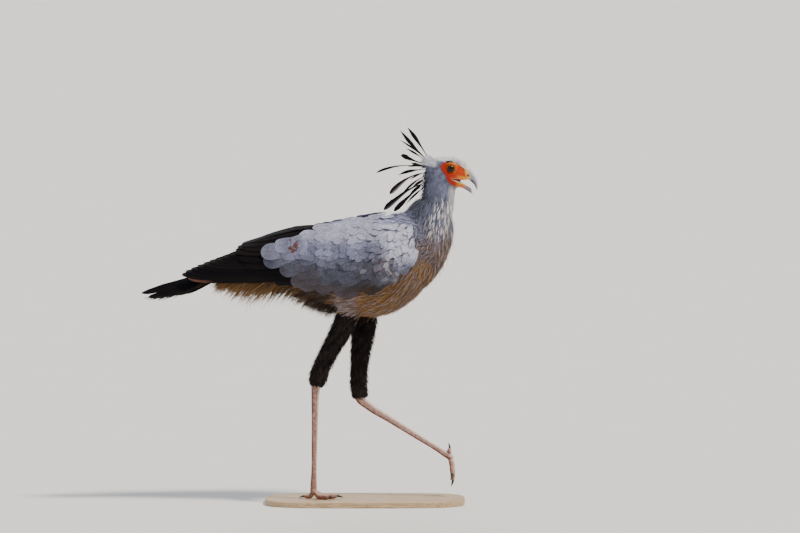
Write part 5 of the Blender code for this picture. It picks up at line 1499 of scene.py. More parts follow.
def rump_feathers(look, rng):
    """Black feathers in a steep roof between the folded wings, from the rump over the root of the tail."""
    coat = Coat("rump_feathers")
    for side in (-1, 1):
        rank = np.arange(6.0)[:, None]
        root = np.concatenate([-0.205 - 0.016 * rank, side * 0.010 + 0 * rank, 0.766 - 0.0095 * rank], 1)
        tip = np.concatenate([-0.372 - 0.014 * rank, side * (0.005 + 0.003 * rank), 0.731 - 0.0085 * rank], 1)
        path = root[:, None] + (tip - root)[:, None] * LONG_STEPS[:, None]
        path[..., 2] += 0.006 * np.sin(LONG_STEPS * math.pi)
        path[..., 1] += side * (0.0006 * (5 - rank) + 0.006 * np.sin(LONG_STEPS * math.pi))
        facing = np.broadcast_to(unit(np.array((0.0, side * 0.80, 0.60))), path.shape)
        tones = flight_tone(6, rng)
        places = np.concatenate([0.05 + 0.075 * (rank + 6 * (side > 0)), 0.5 + 0 * rank], 1)
        coat.lay(path, facing, 0.0140 * frayed(LONG_SHAPE, 6, rng, 0.03), 0.0008, tones, places, (0.06, 0.94),
                 columns=7, camber=0.16, steps=LONG_STEPS)
    finish_piece(coat.build(), [look], sharp=50)


# Outlines of the crest feathers, from root to tip: lance-shaped, and spoon-shaped with a blunt end.
CREST_STEPS = np.concatenate([np.linspace(0, 0.9, 19), (0.94, 0.975, 0.993, 1.0)])
LANCE = ((0.0, 0.22, 0.40, 0.58, 0.72, 0.84, 0.93, 1.0), (0.20, 0.24, 0.42, 0.90, 1.0, 0.66, 0.34, 0.05))
SPOON = ((0.0, 0.25, 0.50, 0.68, 0.82, 0.92, 0.97, 1.0), (0.16, 0.18, 0.30, 0.66, 1.0, 0.92, 0.62, 0.06))
SPOON_SHAPED = (3, 5, 7, 9, 10)


def crest_feathers(look, rng):
    """Long feathers, each narrow at the root and widest towards the tip."""
    coat = Coat("crest_feathers")
    steps = CREST_STEPS
    for index, (x0, z0, x1, z1, sag, half, y0, y1) in enumerate(CREST):
        outline = np.interp(steps, *(SPOON if index in SPOON_SHAPED else LANCE))
        root, tip = np.array((x0, y0, z0)), np.array((x1, y1, z1))
        path = root + (tip - root) * steps[:, None]
        path[:, 2] += sag * 4 * steps * (1 - steps)
        path[:, 1] += 0.003 * np.sin(steps * 5 + index) * steps
        path -= unit(tip - root) * (0.008 * (1 - steps) ** 6)[:, None]
        turn = np.radians((-28, 22, 35, -15, 18, -32)[index % 6] + 25 * steps * (-1) ** index)
        facing = np.stack([0 * turn, -np.cos(turn), np.sin(turn)], 1)[None]
        tones = np.broadcast_to(flight_tone(1, rng)[:, None, None], (1, len(steps), 8, 3)).copy()
        # Paler vanes along one side of two of them: a painted highlight on their lit side.
        wear_and_lit_side = np.array((0, 0, 0, 0.45, 0.75, 0.45, 0, 0))[None, None, :, None] * (index in (7, 9))
        tones = tones * (1 - wear_and_lit_side) + (RUFOUS * 0.3 + PALE * 0.5) * wear_and_lit_side
        places = np.array([[0.03 + 0.052 * index, 0.5]])
        halves = half * 1.05 * frayed(outline, 1, rng, 0.05)
        coat.lay(path[None], facing, halves, 0.0009, tones, places, (0.040, 0.94), columns=5, camber=0.12,
                 steps=steps)
        shafts(coat, path[None], facing, 0.0009, flight_tone(1, rng), places, (0.003, 0.94), 0.0009)
    finish_piece(coat.build(), [look], sharp=50)


def tucked(path):
    """Points drawn in between the folded wings, wherever they lie above the wings' lower edge."""
    top, bottom, half = np.moveaxis(stations_at(WING_GUIDE, path[..., 0].ravel()).reshape(*path.shape[:-1], 3), -1, 0)
    rise = np.clip(np.abs(path[..., 2] * 2 - top - bottom) / (top - bottom), 0, 1)
    room = np.maximum(half * signed_power(1 - rise ** GUIDE_SQUARENESS, 1 / GUIDE_SQUARENESS) - 0.007, 0.004)
    room = np.where((path[..., 2] > bottom + 0.010) & (path[..., 0] < -0.15), room, 1.0)
    path[..., 1] = np.clip(path[..., 1], -room, room)
    return path


def hanging_plumes(name, look, tree, roots, headings, axis, tone, rng, length, half, droop, lift):
    """Loose, thin plumes that leave the coat and hang."""
    count = len(roots)
    steps = np.array((0.0, 0.20, 0.45, 0.70, 0.88, 1.0))
    shape = np.array((0.6, 1.0, 0.90, 0.62, 0.34, 0.05))
    normals = skin_normals(tree, roots)
    headings = unit(headings - normals * np.sum(headings * normals, 1, keepdims=True))
    headings = turned(headings, normals, rng.normal(0, 0.16, count))
    lengths = length * rng.uniform(0.7, 1.2, count)
    path = roots[:, None] + headings[:, None] * (lengths[:, None] * steps)[..., None]
    path = path + normals[:, None] * (-0.001 + lift * rng.uniform(0.3, 1.4, (count, 1)) * steps ** 1.2)[..., None]
    path[..., 2] -= droop * rng.uniform(0.4, 1.5, (count, 1)) * steps ** 1.7
    sway = rng.normal(0, 0.10, (count, 1)) * lengths[:, None] * steps ** 2
    path[..., 1] += sway
    path = tucked(path)
    facing = np.broadcast_to(normals[:, None], path.shape)
    halves = half * rng.uniform(0.7, 1.3, count)[:, None] * shape
    coat = Coat(name)
    coat.lay(path, facing, halves, 0.0005, tone(path[:, 3], rng), unwrap(roots, axis), camber=0.15, steps=steps)
    return finish_piece(coat.build(), [look], sharp=60)


def undertail_fringe(look, rng):
    """Long wispy plumes that hang in a fringe from under the closed tail and wings."""
    count, steps = 1300, np.array((0.0, 0.18, 0.40, 0.62, 0.82, 1.0))
    shape = np.array((0.8, 1.0, 0.85, 0.60, 0.34, 0.05))
    x = rng.uniform(-0.405, -0.068, count)
    back, vent = ramp(x, -0.25, -0.40), ramp(x, -0.20, -0.14)
    low = stations_at(TORSO, x)[:, 1] + 0.012
    high = 0.652 + 0.08 * np.maximum(x + 0.30, 0)
    roots = np.stack([x, rng.uniform(-0.040, 0.040, count) * (1 - 0.60 * back), high + (low - high) * vent], 1)
    lengths = (0.104 - 0.046 * back - 0.058 * vent) * rng.uniform(0.5, 1.0, count)
    way = unit(np.stack([np.full(count, -1.0), rng.normal(0, 0.10, count), rng.uniform(-0.75, -0.10, count)], 1))
    path = roots[:, None] + way[:, None] * (lengths[:, None] * steps)[..., None]
    path[..., 2] -= (0.030 - 0.016 * back - 0.014 * vent)[:, None] * rng.uniform(0.5, 1.4, (count, 1)) * steps ** 1.8
    path[..., 1] += rng.normal(0, 0.06, (count, 1)) * lengths[:, None] * steps ** 2
    path = tucked(path)
    side = np.where(rng.uniform(0, 1, count) < 0.5, -1.0, 1.0)
    facing = unit(np.stack([0 * side, side, rng.uniform(-0.8, 0.2, count)], 1))
    lot = rng.uniform(0, 1, count)
    tone = mix(np.broadcast_to(OCHRE, (count, 3)), TAWNY, lot * 1.2)
    tone = mix(tone, UMBER, ramp(rng.uniform(0, 1, count), 0.55, 0.9) * 0.8)
    tone = mix(tone, BLACK, ramp(x + 0.03 * rng.normal(0, 1, count), -0.215, -0.185) * 0.85)
    tone = tone * rng.uniform(0.8, 1.2, count)[:, None]
    coat = Coat("undertail_fringe")
    halves = 0.0011 * rng.uniform(0.6, 1.3, count)[:, None] * shape
    coat.lay(path, np.broadcast_to(facing[:, None], path.shape), halves, 0.0004, tone, unwrap(roots, FRINGE_AXIS),
             camber=0.2, steps=steps)
    # Worn barbs that fray from the lower edge of the tail.
    count = 320
    x = rng.uniform(-0.615, -0.400, count)
    _, edge, half = stations_at(TAIL, x).T
    side = np.where(rng.uniform(0, 1, count) < 0.5, -1.0, 1.0)
    roots = np.stack([x, side * half * 0.86, edge + 0.006], 1)
    way = unit(np.stack([np.full(count, -1.0), rng.normal(0, 0.12, count), rng.uniform(-0.75, -0.15, count)], 1))
    lengths = rng.uniform(0.012, 0.030, count)
    path = roots[:, None] + way[:, None] * (lengths[:, None] * steps)[..., None]
    tone = mix(flight_tone(count, rng), OCHRE * 0.8, ramp(x, -0.50, -0.42) * ramp(rng.uniform(0, 1, count), 0.4, 0.6))
    facing = unit(np.stack([0 * side, side, np.full(count, 0.2)], 1))
    coat.lay(path, np.broadcast_to(facing[:, None], path.shape), np.broadcast_to(0.0009 * shape, (count, 6)), 0.0004,
             tone, unwrap(roots, FRINGE_AXIS), camber=0.2, steps=steps)
    finish_piece(coat.build(), [look], sharp=60)


# ---------------------------------------------------------------- head's hard parts

def build_bill():
    pieces = []
    looks = {"upper": bill_horn(), "lower": lower_horn()}
    for name, stations in (("upper", BILL_UPPER), ("lower", BILL_LOWER)):
        path, depths, widths = limb_rows([(x, 0.0, z, d, w) for x, z, d, w in stations], 46)
        piece = new_mesh_object(f"bill_{name}_horn", *lofted(tube_rings(path, depths, widths, 44)))
        face_outwards(piece)
        cutters = [mouth_prism()] if name == "lower" else []
        if name == "upper":
            for side in (-1, 1):
                edit = bmesh.new()
                bmesh.ops.create_uvsphere(edit, u_segments=20, v_segments=12, radius=1.0)
                bmesh.ops.scale(edit, vec=NOSTRIL_SIZE, verts=edit.verts)
                bmesh.ops.rotate(edit, cent=(0, 0, 0), matrix=Matrix.Rotation(-0.6, 3, "Y"), verts=edit.verts)
                bmesh.ops.translate(edit, vec=(NOSTRIL[0], NOSTRIL[1] * side, NOSTRIL[2]), verts=edit.verts)
                mesh = bpy.data.meshes.new("nostril")
                edit.to_mesh(mesh)
                edit.free()
                hole = bpy.data.objects.new("nostril", mesh)
                bpy.context.scene.collection.objects.link(hole)
                cutters.append(hole)
        cut_away(piece, cutters)
        # Where each point lies round the horn, from its inner edge to its ridge, and along it.
        points = mesh_points(piece)
        nearest = np.argmin(np.linalg.norm(points[:, None] - path[None], axis=2), axis=1)
        front = np.cross(unit(np.gradient(path, axis=0)), (0.0, 1.0, 0.0))
        ridge = np.sum((points - path[nearest]) * front[nearest], 1) / np.maximum(depths[nearest], 1e-4)
        for key, values in (("ridge", ridge), ("reach", nearest / 45)):
            attribute = piece.data.attributes.new(key, "FLOAT", "POINT")
            attribute.data.foreach_set("value", values.astype(np.float32))
        finish_piece(piece, [looks[name]], (f"bill_{name}",), sharp=40)
        pieces.append(piece)
    return pieces


def ring_of(centre, reach, section, count, sides, side, points_at=0.0):
    """Rings of a rolled rim round an eye, in the plane of the side of the head."""
    rings = []
    roll = np.linspace(0, TAU, sides, endpoint=False)
    for turn in np.linspace(0, TAU, count, endpoint=False):
        radius = reach * (1 + points_at * (max(0.0, math.cos(turn)) ** 6 + 0.6 * max(0.0, -math.cos(turn)) ** 6))
        out = np.array((math.cos(turn), 0.0, math.sin(turn)))
        face = np.array((0.0, side, 0.0))
        middle = np.array((centre[0], centre[1], centre[2])) + out * radius
        rings.append(middle + section * (np.cos(roll)[:, None] * out + np.sin(roll)[:, None] * face))
    return rings


def closed_loop(rings):
    sides, count = len(rings[0]), len(rings)
    faces = []
    for i in range(count):
        a, b = i * sides, (i + 1) % count * sides
        for k in range(sides):
            j = (k + 1) % sides
            faces.append((a + k, b + k, b + j, a + j))
    return np.concatenate(rings), faces


def build_eyes():
    wet, rim_look, lash_look = eye_wet(), lid_rim(), lash_horn()
    for name, side in (("right", -1), ("left", 1)):
        edit = bmesh.new()
        bmesh.ops.create_uvsphere(edit, u_segments=56, v_segments=36, radius=EYE_RADIUS)
        bmesh.ops.translate(edit, vec=(EYE[0], EYE[1] * side, EYE[2]), verts=edit.verts)
        mesh = bpy.data.meshes.new(f"eyeball_{name}")
        edit.to_mesh(mesh)
        edit.free()
        mesh.polygons.foreach_set("use_smooth", [True] * len(mesh.polygons))
        ball = bpy.data.objects.new(mesh.name, mesh)
        bpy.context.scene.collection.objects.link(ball)
        finish_piece(ball, [wet], (f"eye_{name}",))

        level = EYE[1] + math.sqrt(EYE_RADIUS ** 2 - 0.0108 ** 2)
        rings = ring_of((EYE[0], side * (level + 0.0002), EYE[2]), 0.0108, 0.0008, 64, 10, side, 0.10)
        rim = new_mesh_object(f"eyelid_rim_{name}", *closed_loop(rings))
        face_outwards(rim)
        finish_piece(rim, [rim_look])

        # Stiff black lashes, which are bare feather shafts, on the upper lid.
        coat = Coat(f"eyelashes_{name}")
        turns = np.radians(np.linspace(28, 158, 22))
        steps = np.linspace(0, 1, 7)
        out = np.stack([np.cos(turns), np.zeros(22), np.sin(turns)], 1)
        roots = np.array((EYE[0], side * level, EYE[2])) + out * 0.0112
        reach = 0.0090 * np.sin(np.linspace(0.5, 2.6, 22)) + 0.0035
        path = roots[:, None] + out[:, None] * (reach[:, None] * steps ** 0.9 * 0.75)[..., None]
        path[..., 1] += side * reach[:, None] * (0.85 * steps - 0.25 * steps ** 2)
        path[..., 0] -= 0.002 * steps ** 2
        facing = np.broadcast_to(np.array((0.0, side * 0.6, 0.8)), path.shape)
        taper = 0.00036 * (1 - 0.85 * steps)
        coat.lay(path, facing, np.broadcast_to(taper, (22, 7)), taper, np.broadcast_to(BLACK * 0.6, (22, 3)),
                 np.stack([np.linspace(0.1, 0.9, 22), np.full(22, 0.5)], 1), camber=0.0)
        finish_piece(coat.build(), [lash_look])


def build_mouth():
    """Flesh at the back of the open mouth, which shuts off the gap between the cheeks."""
    outline = [(0.2400, 0.9500), (0.2560, 0.9482), (0.2700, 0.9462), (0.2800, 0.9442), (0.2768, 0.9405),
               (0.2772, 0.9368), (0.2800, 0.9330), (0.2700, 0.9372), (0.2560, 0.9440)]
    count = len(outline)
    verts = [(x, side * 0.0085, z) for side in (-1, 1) for x, z in outline]
    faces = [tuple(range(count)), tuple(range(2 * count - 1, count - 1, -1))]
    faces += [(k, (k + 1) % count, (k + 1) % count + count, k + count) for k in range(count)]
    mouth = face_outwards(new_mesh_object("mouth_flesh", verts, faces))
    finish_piece(mouth, [mouth_lining()], sharp=30)


def build_gape_rims():
    """Fleshy rims along both edges of the mouth, from its corner to the bill."""
    look = gape_rim()
    shells = []
    for side in (-1, 1):
        for (x1, z1), reach, back in ((GAPE_UPPER, 0.50, 0.0), (GAPE_LOWER, 0.62, 0.0)):
            share = np.linspace(0.0, reach, 26)
            x = GAPE_CORNER[0] + (x1 - GAPE_CORNER[0]) * share
            z = GAPE_CORNER[1] + (z1 - GAPE_CORNER[1]) * share
            top, bottom, half = stations_at(HEAD, x).T
            level = np.clip(np.abs(2 * z - top - bottom) / (top - bottom), 0, 1)
            y = half * (1 - level ** HEAD_SQUARENESS) ** (1 / HEAD_SQUARENESS)
            path = np.stack([x, side * (y - 0.0008), z], 1)
            radius = 0.0013 * np.sin(np.linspace(0.35, 2.75, 26)) + 0.0004
            shells.append(lofted(tube_rings(path, radius, radius, 10)))
    rims = new_mesh_object("gape_rims", *joined(shells))
    edit = bmesh.new()
    edit.from_mesh(rims.data)
    bmesh.ops.recalc_face_normals(edit, faces=edit.faces)
    edit.to_mesh(rims.data)
    edit.free()
    finish_piece(rims, [look])


# ---------------------------------------------------------------- legs

def toe_path(length, radius, curl, steps=7):
    """Centres of a toe in its own plane: distance ahead of the joint and height above it."""
    share = np.linspace(0.0, 1.0, steps)
    if curl is None:
        floor = -(TOE_DROP - radius * 0.97)
        return share * length, floor * np.clip(share / 0.38, 0.0, 1.0) ** 0.7
    angle = curl * share
    stride = length / (steps - 1)
    ahead = np.concatenate([[0.0], np.cumsum(np.cos(angle[1:]) * stride)])
    return ahead, np.concatenate([[0.0], np.cumsum(-np.sin(angle[1:]) * stride)])


def refined(rows, count):
    """Rows at equal shares along a smooth curve through every row."""
    rows = np.asarray(rows, float)
    at = np.linspace(0.0, 1.0, len(rows))
    return hermite(at, rows, np.gradient(rows, at, axis=0), np.linspace(0, 1, count))


def round_rings(path, radii, up, sides):
    ahead = unit(np.gradient(path, axis=0))
    side = unit(np.cross(ahead, up))
    top = np.cross(side, ahead)
    angle = np.linspace(0, TAU, sides, endpoint=False)[:, None]
    return [c + r * (np.sin(angle) * s + np.cos(angle) * t) for c, r, s, t in zip(path, radii, side, top)]


FOOT_PLANS = {
    "right": (JOINT_RIGHT, (1.0, 0.0, 0.0), (0.0, 0.0, 1.0), 1.0, None),
    "left": (JOINT_LEFT, (0.30, 0.0, -0.95), (0.95, 0.0, 0.30), 0.42, 0.35),
}


def toes_of(side):
    """Path, radii, upward direction and claw path of each toe of a foot."""
    joint, forward, up, fan, curl = FOOT_PLANS[side]
    joint, forward, up = np.array(joint), unit(np.array(forward)), unit(np.array(up))
    inward = np.array((0.0, 1.0 if side == "right" else -1.0, 0.0))
    for name, heading, length, radius in TOES:
        turn = math.radians(heading * (fan if name != "hind" else 1.0))
        along = forward * math.cos(turn) + inward * math.sin(turn)
        bend = None if curl is None else (curl if name != "hind" else -curl)
        ahead, height = toe_path(length, radius, bend)
        path = joint + along * ahead[:, None] + up * height[:, None]
        swell = radius * np.array((1.12, 1.0, 1.04, 0.90, 0.95, 0.84, 0.62))
        tip_ahead = unit(path[-1] - path[-3])
        reach = np.array((-0.24, 0.1, 0.4, 0.7, 1.0)) * CLAW_LENGTH
        droop = up * (-(np.clip(reach, 0, None) ** 2) / CLAW_LENGTH * 0.30)[:, None]
        claw = path[-1] + tip_ahead * reach[:, None] + droop + up * 0.0012
        thick = radius * np.array((0.46, 0.50, 0.42, 0.27, 0.06))
        yield path, swell, up, claw, thick


def scute_tree():
    """Curved plates set on points, turned and sized by the points' own attributes."""
    tree = bpy.data.node_groups.new("lay_scutes", "GeometryNodeTree")
    for name, kind in (("Points", "NodeSocketGeometry"), ("Scute", "NodeSocketObject"),
                       ("Skin", "NodeSocketMaterial")):
        tree.interface.new_socket(name, in_out="INPUT", socket_type=kind)
    tree.interface.new_socket("Scutes", in_out="OUTPUT", socket_type="NodeSocketGeometry")
    given = add(tree, "NodeGroupInput")
    shape = add(tree, "GeometryNodeObjectInfo", {"Object": given.outputs["Scute"]}, transform_space="ORIGINAL")
    turn = add(tree, "GeometryNodeInputNamedAttribute", {"Name": "turn"}, data_type="FLOAT_VECTOR")
    size = add(tree, "GeometryNodeInputNamedAttribute", {"Name": "size"}, data_type="FLOAT_VECTOR")
    euler = add(tree, "FunctionNodeEulerToRotation", {0: turn.outputs["Attribute"]})
    laid = add(tree, "GeometryNodeInstanceOnPoints", {
        "Points": given.outputs["Points"], "Instance": shape.outputs["Geometry"],
        "Rotation": euler.outputs[0], "Scale": size.outputs["Attribute"],
    })
    real = add(tree, "GeometryNodeRealizeInstances", {0: laid.outputs[0]})
    painted = add(tree, "GeometryNodeSetMaterial", {"Geometry": real.outputs[0], "Material": given.outputs["Skin"]})
    add(tree, "NodeGroupOutput", {"Scutes": painted.outputs[0]})
    return tree


def scute_shape():
    """One scute of unit size: a thin curved plate round +X whose lower end stands off the limb."""
    turns = np.radians(np.linspace(-72, 72, 9))
    outer, inner = [], []
    for height, rise in ((0.5, 0.985), (0.30, 1.035), (-0.10, 1.075), (-0.42, 1.10), (-0.5, 1.06)):
        fade = 1 - 0.045 * (np.abs(turns) / turns[-1]) ** 4
        bow = -0.10 * (turns / turns[-1]) ** 2 * np.sign(height + 0.01)
        outer.append(np.stack([rise * fade * np.cos(turns), rise * fade * np.sin(turns), height - bow * 0.5], 1))
        inner.append(np.stack([0.95 * np.cos(turns), 0.95 * np.sin(turns), height - bow * 0.5], 1))
    verts, faces = grid_pad(np.array(outer), np.array(inner))
    return face_outwards(new_mesh_object("scute", verts, faces))


def frames_to_euler(axis, front):
    """Euler turn that takes +Z to the axis and +X as near as it can to the front."""
    z = unit(axis)
    x = unit(front - z * np.sum(front * z, -1, keepdims=True))
    y = np.cross(z, x)
    turns = []
    for a, b, c in zip(x, y, z):
        turns.append(tuple(Matrix(np.stack([a, b, c], 1).tolist()).to_euler()))
    return np.array(turns)


def plates_along(path, depths, widths, front, pitch, share=1.0, start=0.0, end=1.0, overlap=1.3):
    """Points, turns and sizes of the scutes along a limb."""
    steps = np.linalg.norm(np.diff(path, axis=0), axis=1)
    at = np.concatenate([[0.0], np.cumsum(steps)])
    count = max(2, int(at[-1] * (end - start) / pitch))
    wanted = (start + (end - start) * (np.arange(count) + 0.5) / count) * at[-1]
    read = lambda column: np.interp(wanted, at, column)
    points = np.stack([read(path[:, k]) for k in range(3)], 1)
    axis = -unit(np.gradient(points, axis=0))
    sizes = np.stack([read(depths) * share, read(widths) * share, np.full(count, pitch * overlap)], 1)
    return points, frames_to_euler(axis, np.broadcast_to(front, axis.shape)), sizes


def mark_lit_side(obj):
    """Stores how much each point faces forwards and up, for the leg skin's painted light and shade."""
    attribute = obj.data.attributes.new("lit_side", "FLOAT", "POINT")
    value = mesh_normals(obj) @ unit(np.array((0.6, 0.0, 0.8))) * 0.5 + 0.4
    attribute.data.foreach_set("value", value.astype(np.float32))


def build_legs():
    tree, shape, look, horn = scute_tree(), scute_shape(), leg_skin("scaled_leg_skin"), claw_horn()
    for side, stations in (("right", SHANK_RIGHT), ("left", SHANK_LEFT)):
        path, depths, widths = limb_rows(stations, 70)
        shells = [lofted(tube_rings(path, depths, widths, 26))]
        joint = np.array(FOOT_PLANS[side][0])
        edit = bmesh.new()
        bmesh.ops.create_uvsphere(edit, u_segments=24, v_segments=16, radius=0.0102)
        bmesh.ops.translate(edit, vec=joint, verts=edit.verts)
        shells.append((np.array([v.co for v in edit.verts]), [tuple(v.index for v in f.verts) for f in edit.faces]))
        edit.free()
        plates = [plates_along(path, depths, widths, (1.0, 0.0, 0.15), 0.0064, start=0.10, end=0.985),
                  plates_along(path, depths, widths, (-1.0, 0.0, -0.15), 0.0050, start=0.10, end=0.97)]
        claws = []
        for toe, swell, up, claw, thick in toes_of(side):
            rows = refined(np.column_stack([toe, swell]), 30)
            shells.append(lofted(round_rings(rows[:, :3], rows[:, 3], up, 20)))
            plates.append(plates_along(rows[:, :3], rows[:, 3], rows[:, 3], up, 0.0036, start=0.20, end=0.97,
                                       overlap=1.35))
            rows = refined(np.column_stack([claw, thick]), 18)
            claws.append(lofted(round_rings(rows[:, :3], np.maximum(rows[:, 3], 0.0003), up, 16)))
        skin = new_mesh_object(f"leg_{side}_skin", *joined(shells))
        face_outwards(skin)
        applied(skin, [
            ("REMESH", {"mode": "VOXEL", "voxel_size": 0.0011, "use_smooth_shade": True}),
            ("SMOOTH", {"factor": 0.5, "iterations": 4}),
        ])
        points = mesh_points(skin)
        points[:, 2] = np.maximum(points[:, 2], SOLE_Z)
        place_points(skin, points)
        mark_lit_side(skin)
        finish_piece(skin, [look], (f"shank_{side}", f"foot_{side}"))

        spots = [np.concatenate(parts) for parts in zip(*plates)]
        cloud = new_mesh_object(f"leg_{side}_scutes", spots[0], [])
        for name, values in (("turn", spots[1]), ("size", spots[2])):
            attribute = cloud.data.attributes.new(name, "FLOAT_VECTOR", "POINT")
            attribute.data.foreach_set("vector", values.astype(np.float32).ravel())
        modifier = cloud.modifiers.new("scutes", "NODES")
        modifier.node_group = tree
        settings = {"Scute": shape, "Skin": look}
        for item in tree.interface.items_tree:
            if item.in_out == "INPUT" and item.name in settings:
                modifier[item.identifier] = settings[item.name]
        applied(cloud, [])
        cloud.data.polygons.foreach_set("use_smooth", [True] * len(cloud.data.polygons))
        points = mesh_points(cloud)
        points[:, 2] = np.maximum(points[:, 2], SOLE_Z)
        place_points(cloud, points)
        mark_lit_side(cloud)
        finish_piece(cloud, [look], sharp=50)

        piece = new_mesh_object(f"claws_{side}", *joined(claws))
        edit = bmesh.new()
        edit.from_mesh(piece.data)
        bmesh.ops.recalc_face_normals(edit, faces=edit.faces)
        edit.to_mesh(piece.data)
        edit.free()
        points = mesh_points(piece)
        points[:, 2] = np.maximum(points[:, 2], SOLE_Z)
        place_points(piece, points)
        finish_piece(piece, [horn],
                     [f"claw_{side}_{name}" for name in ("middle", "inner", "outer", "hind")])
    bpy.data.objects.remove(shape, do_unlink=True)


def build_base():
    """A planed oval board with softly rounded edges."""
    sides = 180
    angle = np.linspace(0, TAU, sides, endpoint=False)
    outline = np.stack([signed_power(np.cos(angle), 0.55), signed_power(np.sin(angle), 0.55)], 1)
    bend = np.linspace(0, math.pi / 2, 7)
    levels = [(BASE_EDGE * (1 - math.cos(b)), BASE_EDGE * (1 - math.sin(b))) for b in bend]
    levels += [(BASE_THICKNESS - height, inset) for height, inset in reversed(levels)]
    rings = []
    for height, inset in levels:
        size = np.array((BASE_LENGTH / 2 - inset, BASE_WIDTH / 2 - inset))
        rings.append(np.column_stack([outline * size, np.full(sides, height)]))
    base = face_outwards(new_mesh_object("display_base", *lofted(rings)))
    finish_piece(base, [pale_wood()], ("stand_base",), sharp=35)


def stage_light(name, place, blur, strength, colour):
    """A soft, even light from a far place."""
    light = bpy.data.lights.new(name, "SUN")
    light.angle = math.radians(blur)
    light.energy = strength
    light.color = linear(colour)
    obj = bpy.data.objects.new(name, light)
    obj.location = place
    obj.rotation_euler = (-Vector(place)).to_track_quat("-Z", "Y").to_euler()
    bpy.context.scene.collection.objects.link(obj)


def set_stage():
    """Camera of the photograph's view, floor and soft studio light."""
    elevation = math.radians(4.5)
    target = Vector((0.1015, 0.0, 0.6906))
    distance = 20.0
    back = Vector((0.0, -math.cos(elevation), math.sin(elevation)))
    camera = bpy.data.cameras.new("camera")
    camera.lens = 310.3
    camera.sensor_width = 36.0
    camera.clip_end = 500.0
    holder = bpy.data.objects.new("camera", camera)
    holder.location = target + back * distance
    holder.rotation_euler = (-back).to_track_quat("-Z", "Y").to_euler()
    bpy.context.scene.collection.objects.link(holder)
    bpy.context.scene.camera = holder

    size = 150.0
    floor = new_mesh_object("floor", [(-size, -size, 0), (size, -size, 0), (size, size, 0), (-size, size, 0)],
                            [(0, 1, 2, 3)])
    floor.data.materials.append(matt_floor())

    world = bpy.data.worlds.new("studio")
    bpy.context.scene.world = world
    world.use_nodes = True
    background = world.node_tree.nodes["Background"]
    background.inputs["Color"].default_value = rgba("#E6EAF2")
    background.inputs["Strength"].default_value = 0.55
    stage_light("key_light", (3.4, -1.9, 6.0), 9.0, 3.6, "#FFF4E4")
    stage_light("fill_light", (-4.5, -4.0, 2.6), 50.0, 0.25, "#EAF0FF")
    stage_light("rim_light", (-1.0, 5.0, 4.0), 30.0, 0.8, "#F4F6FF")


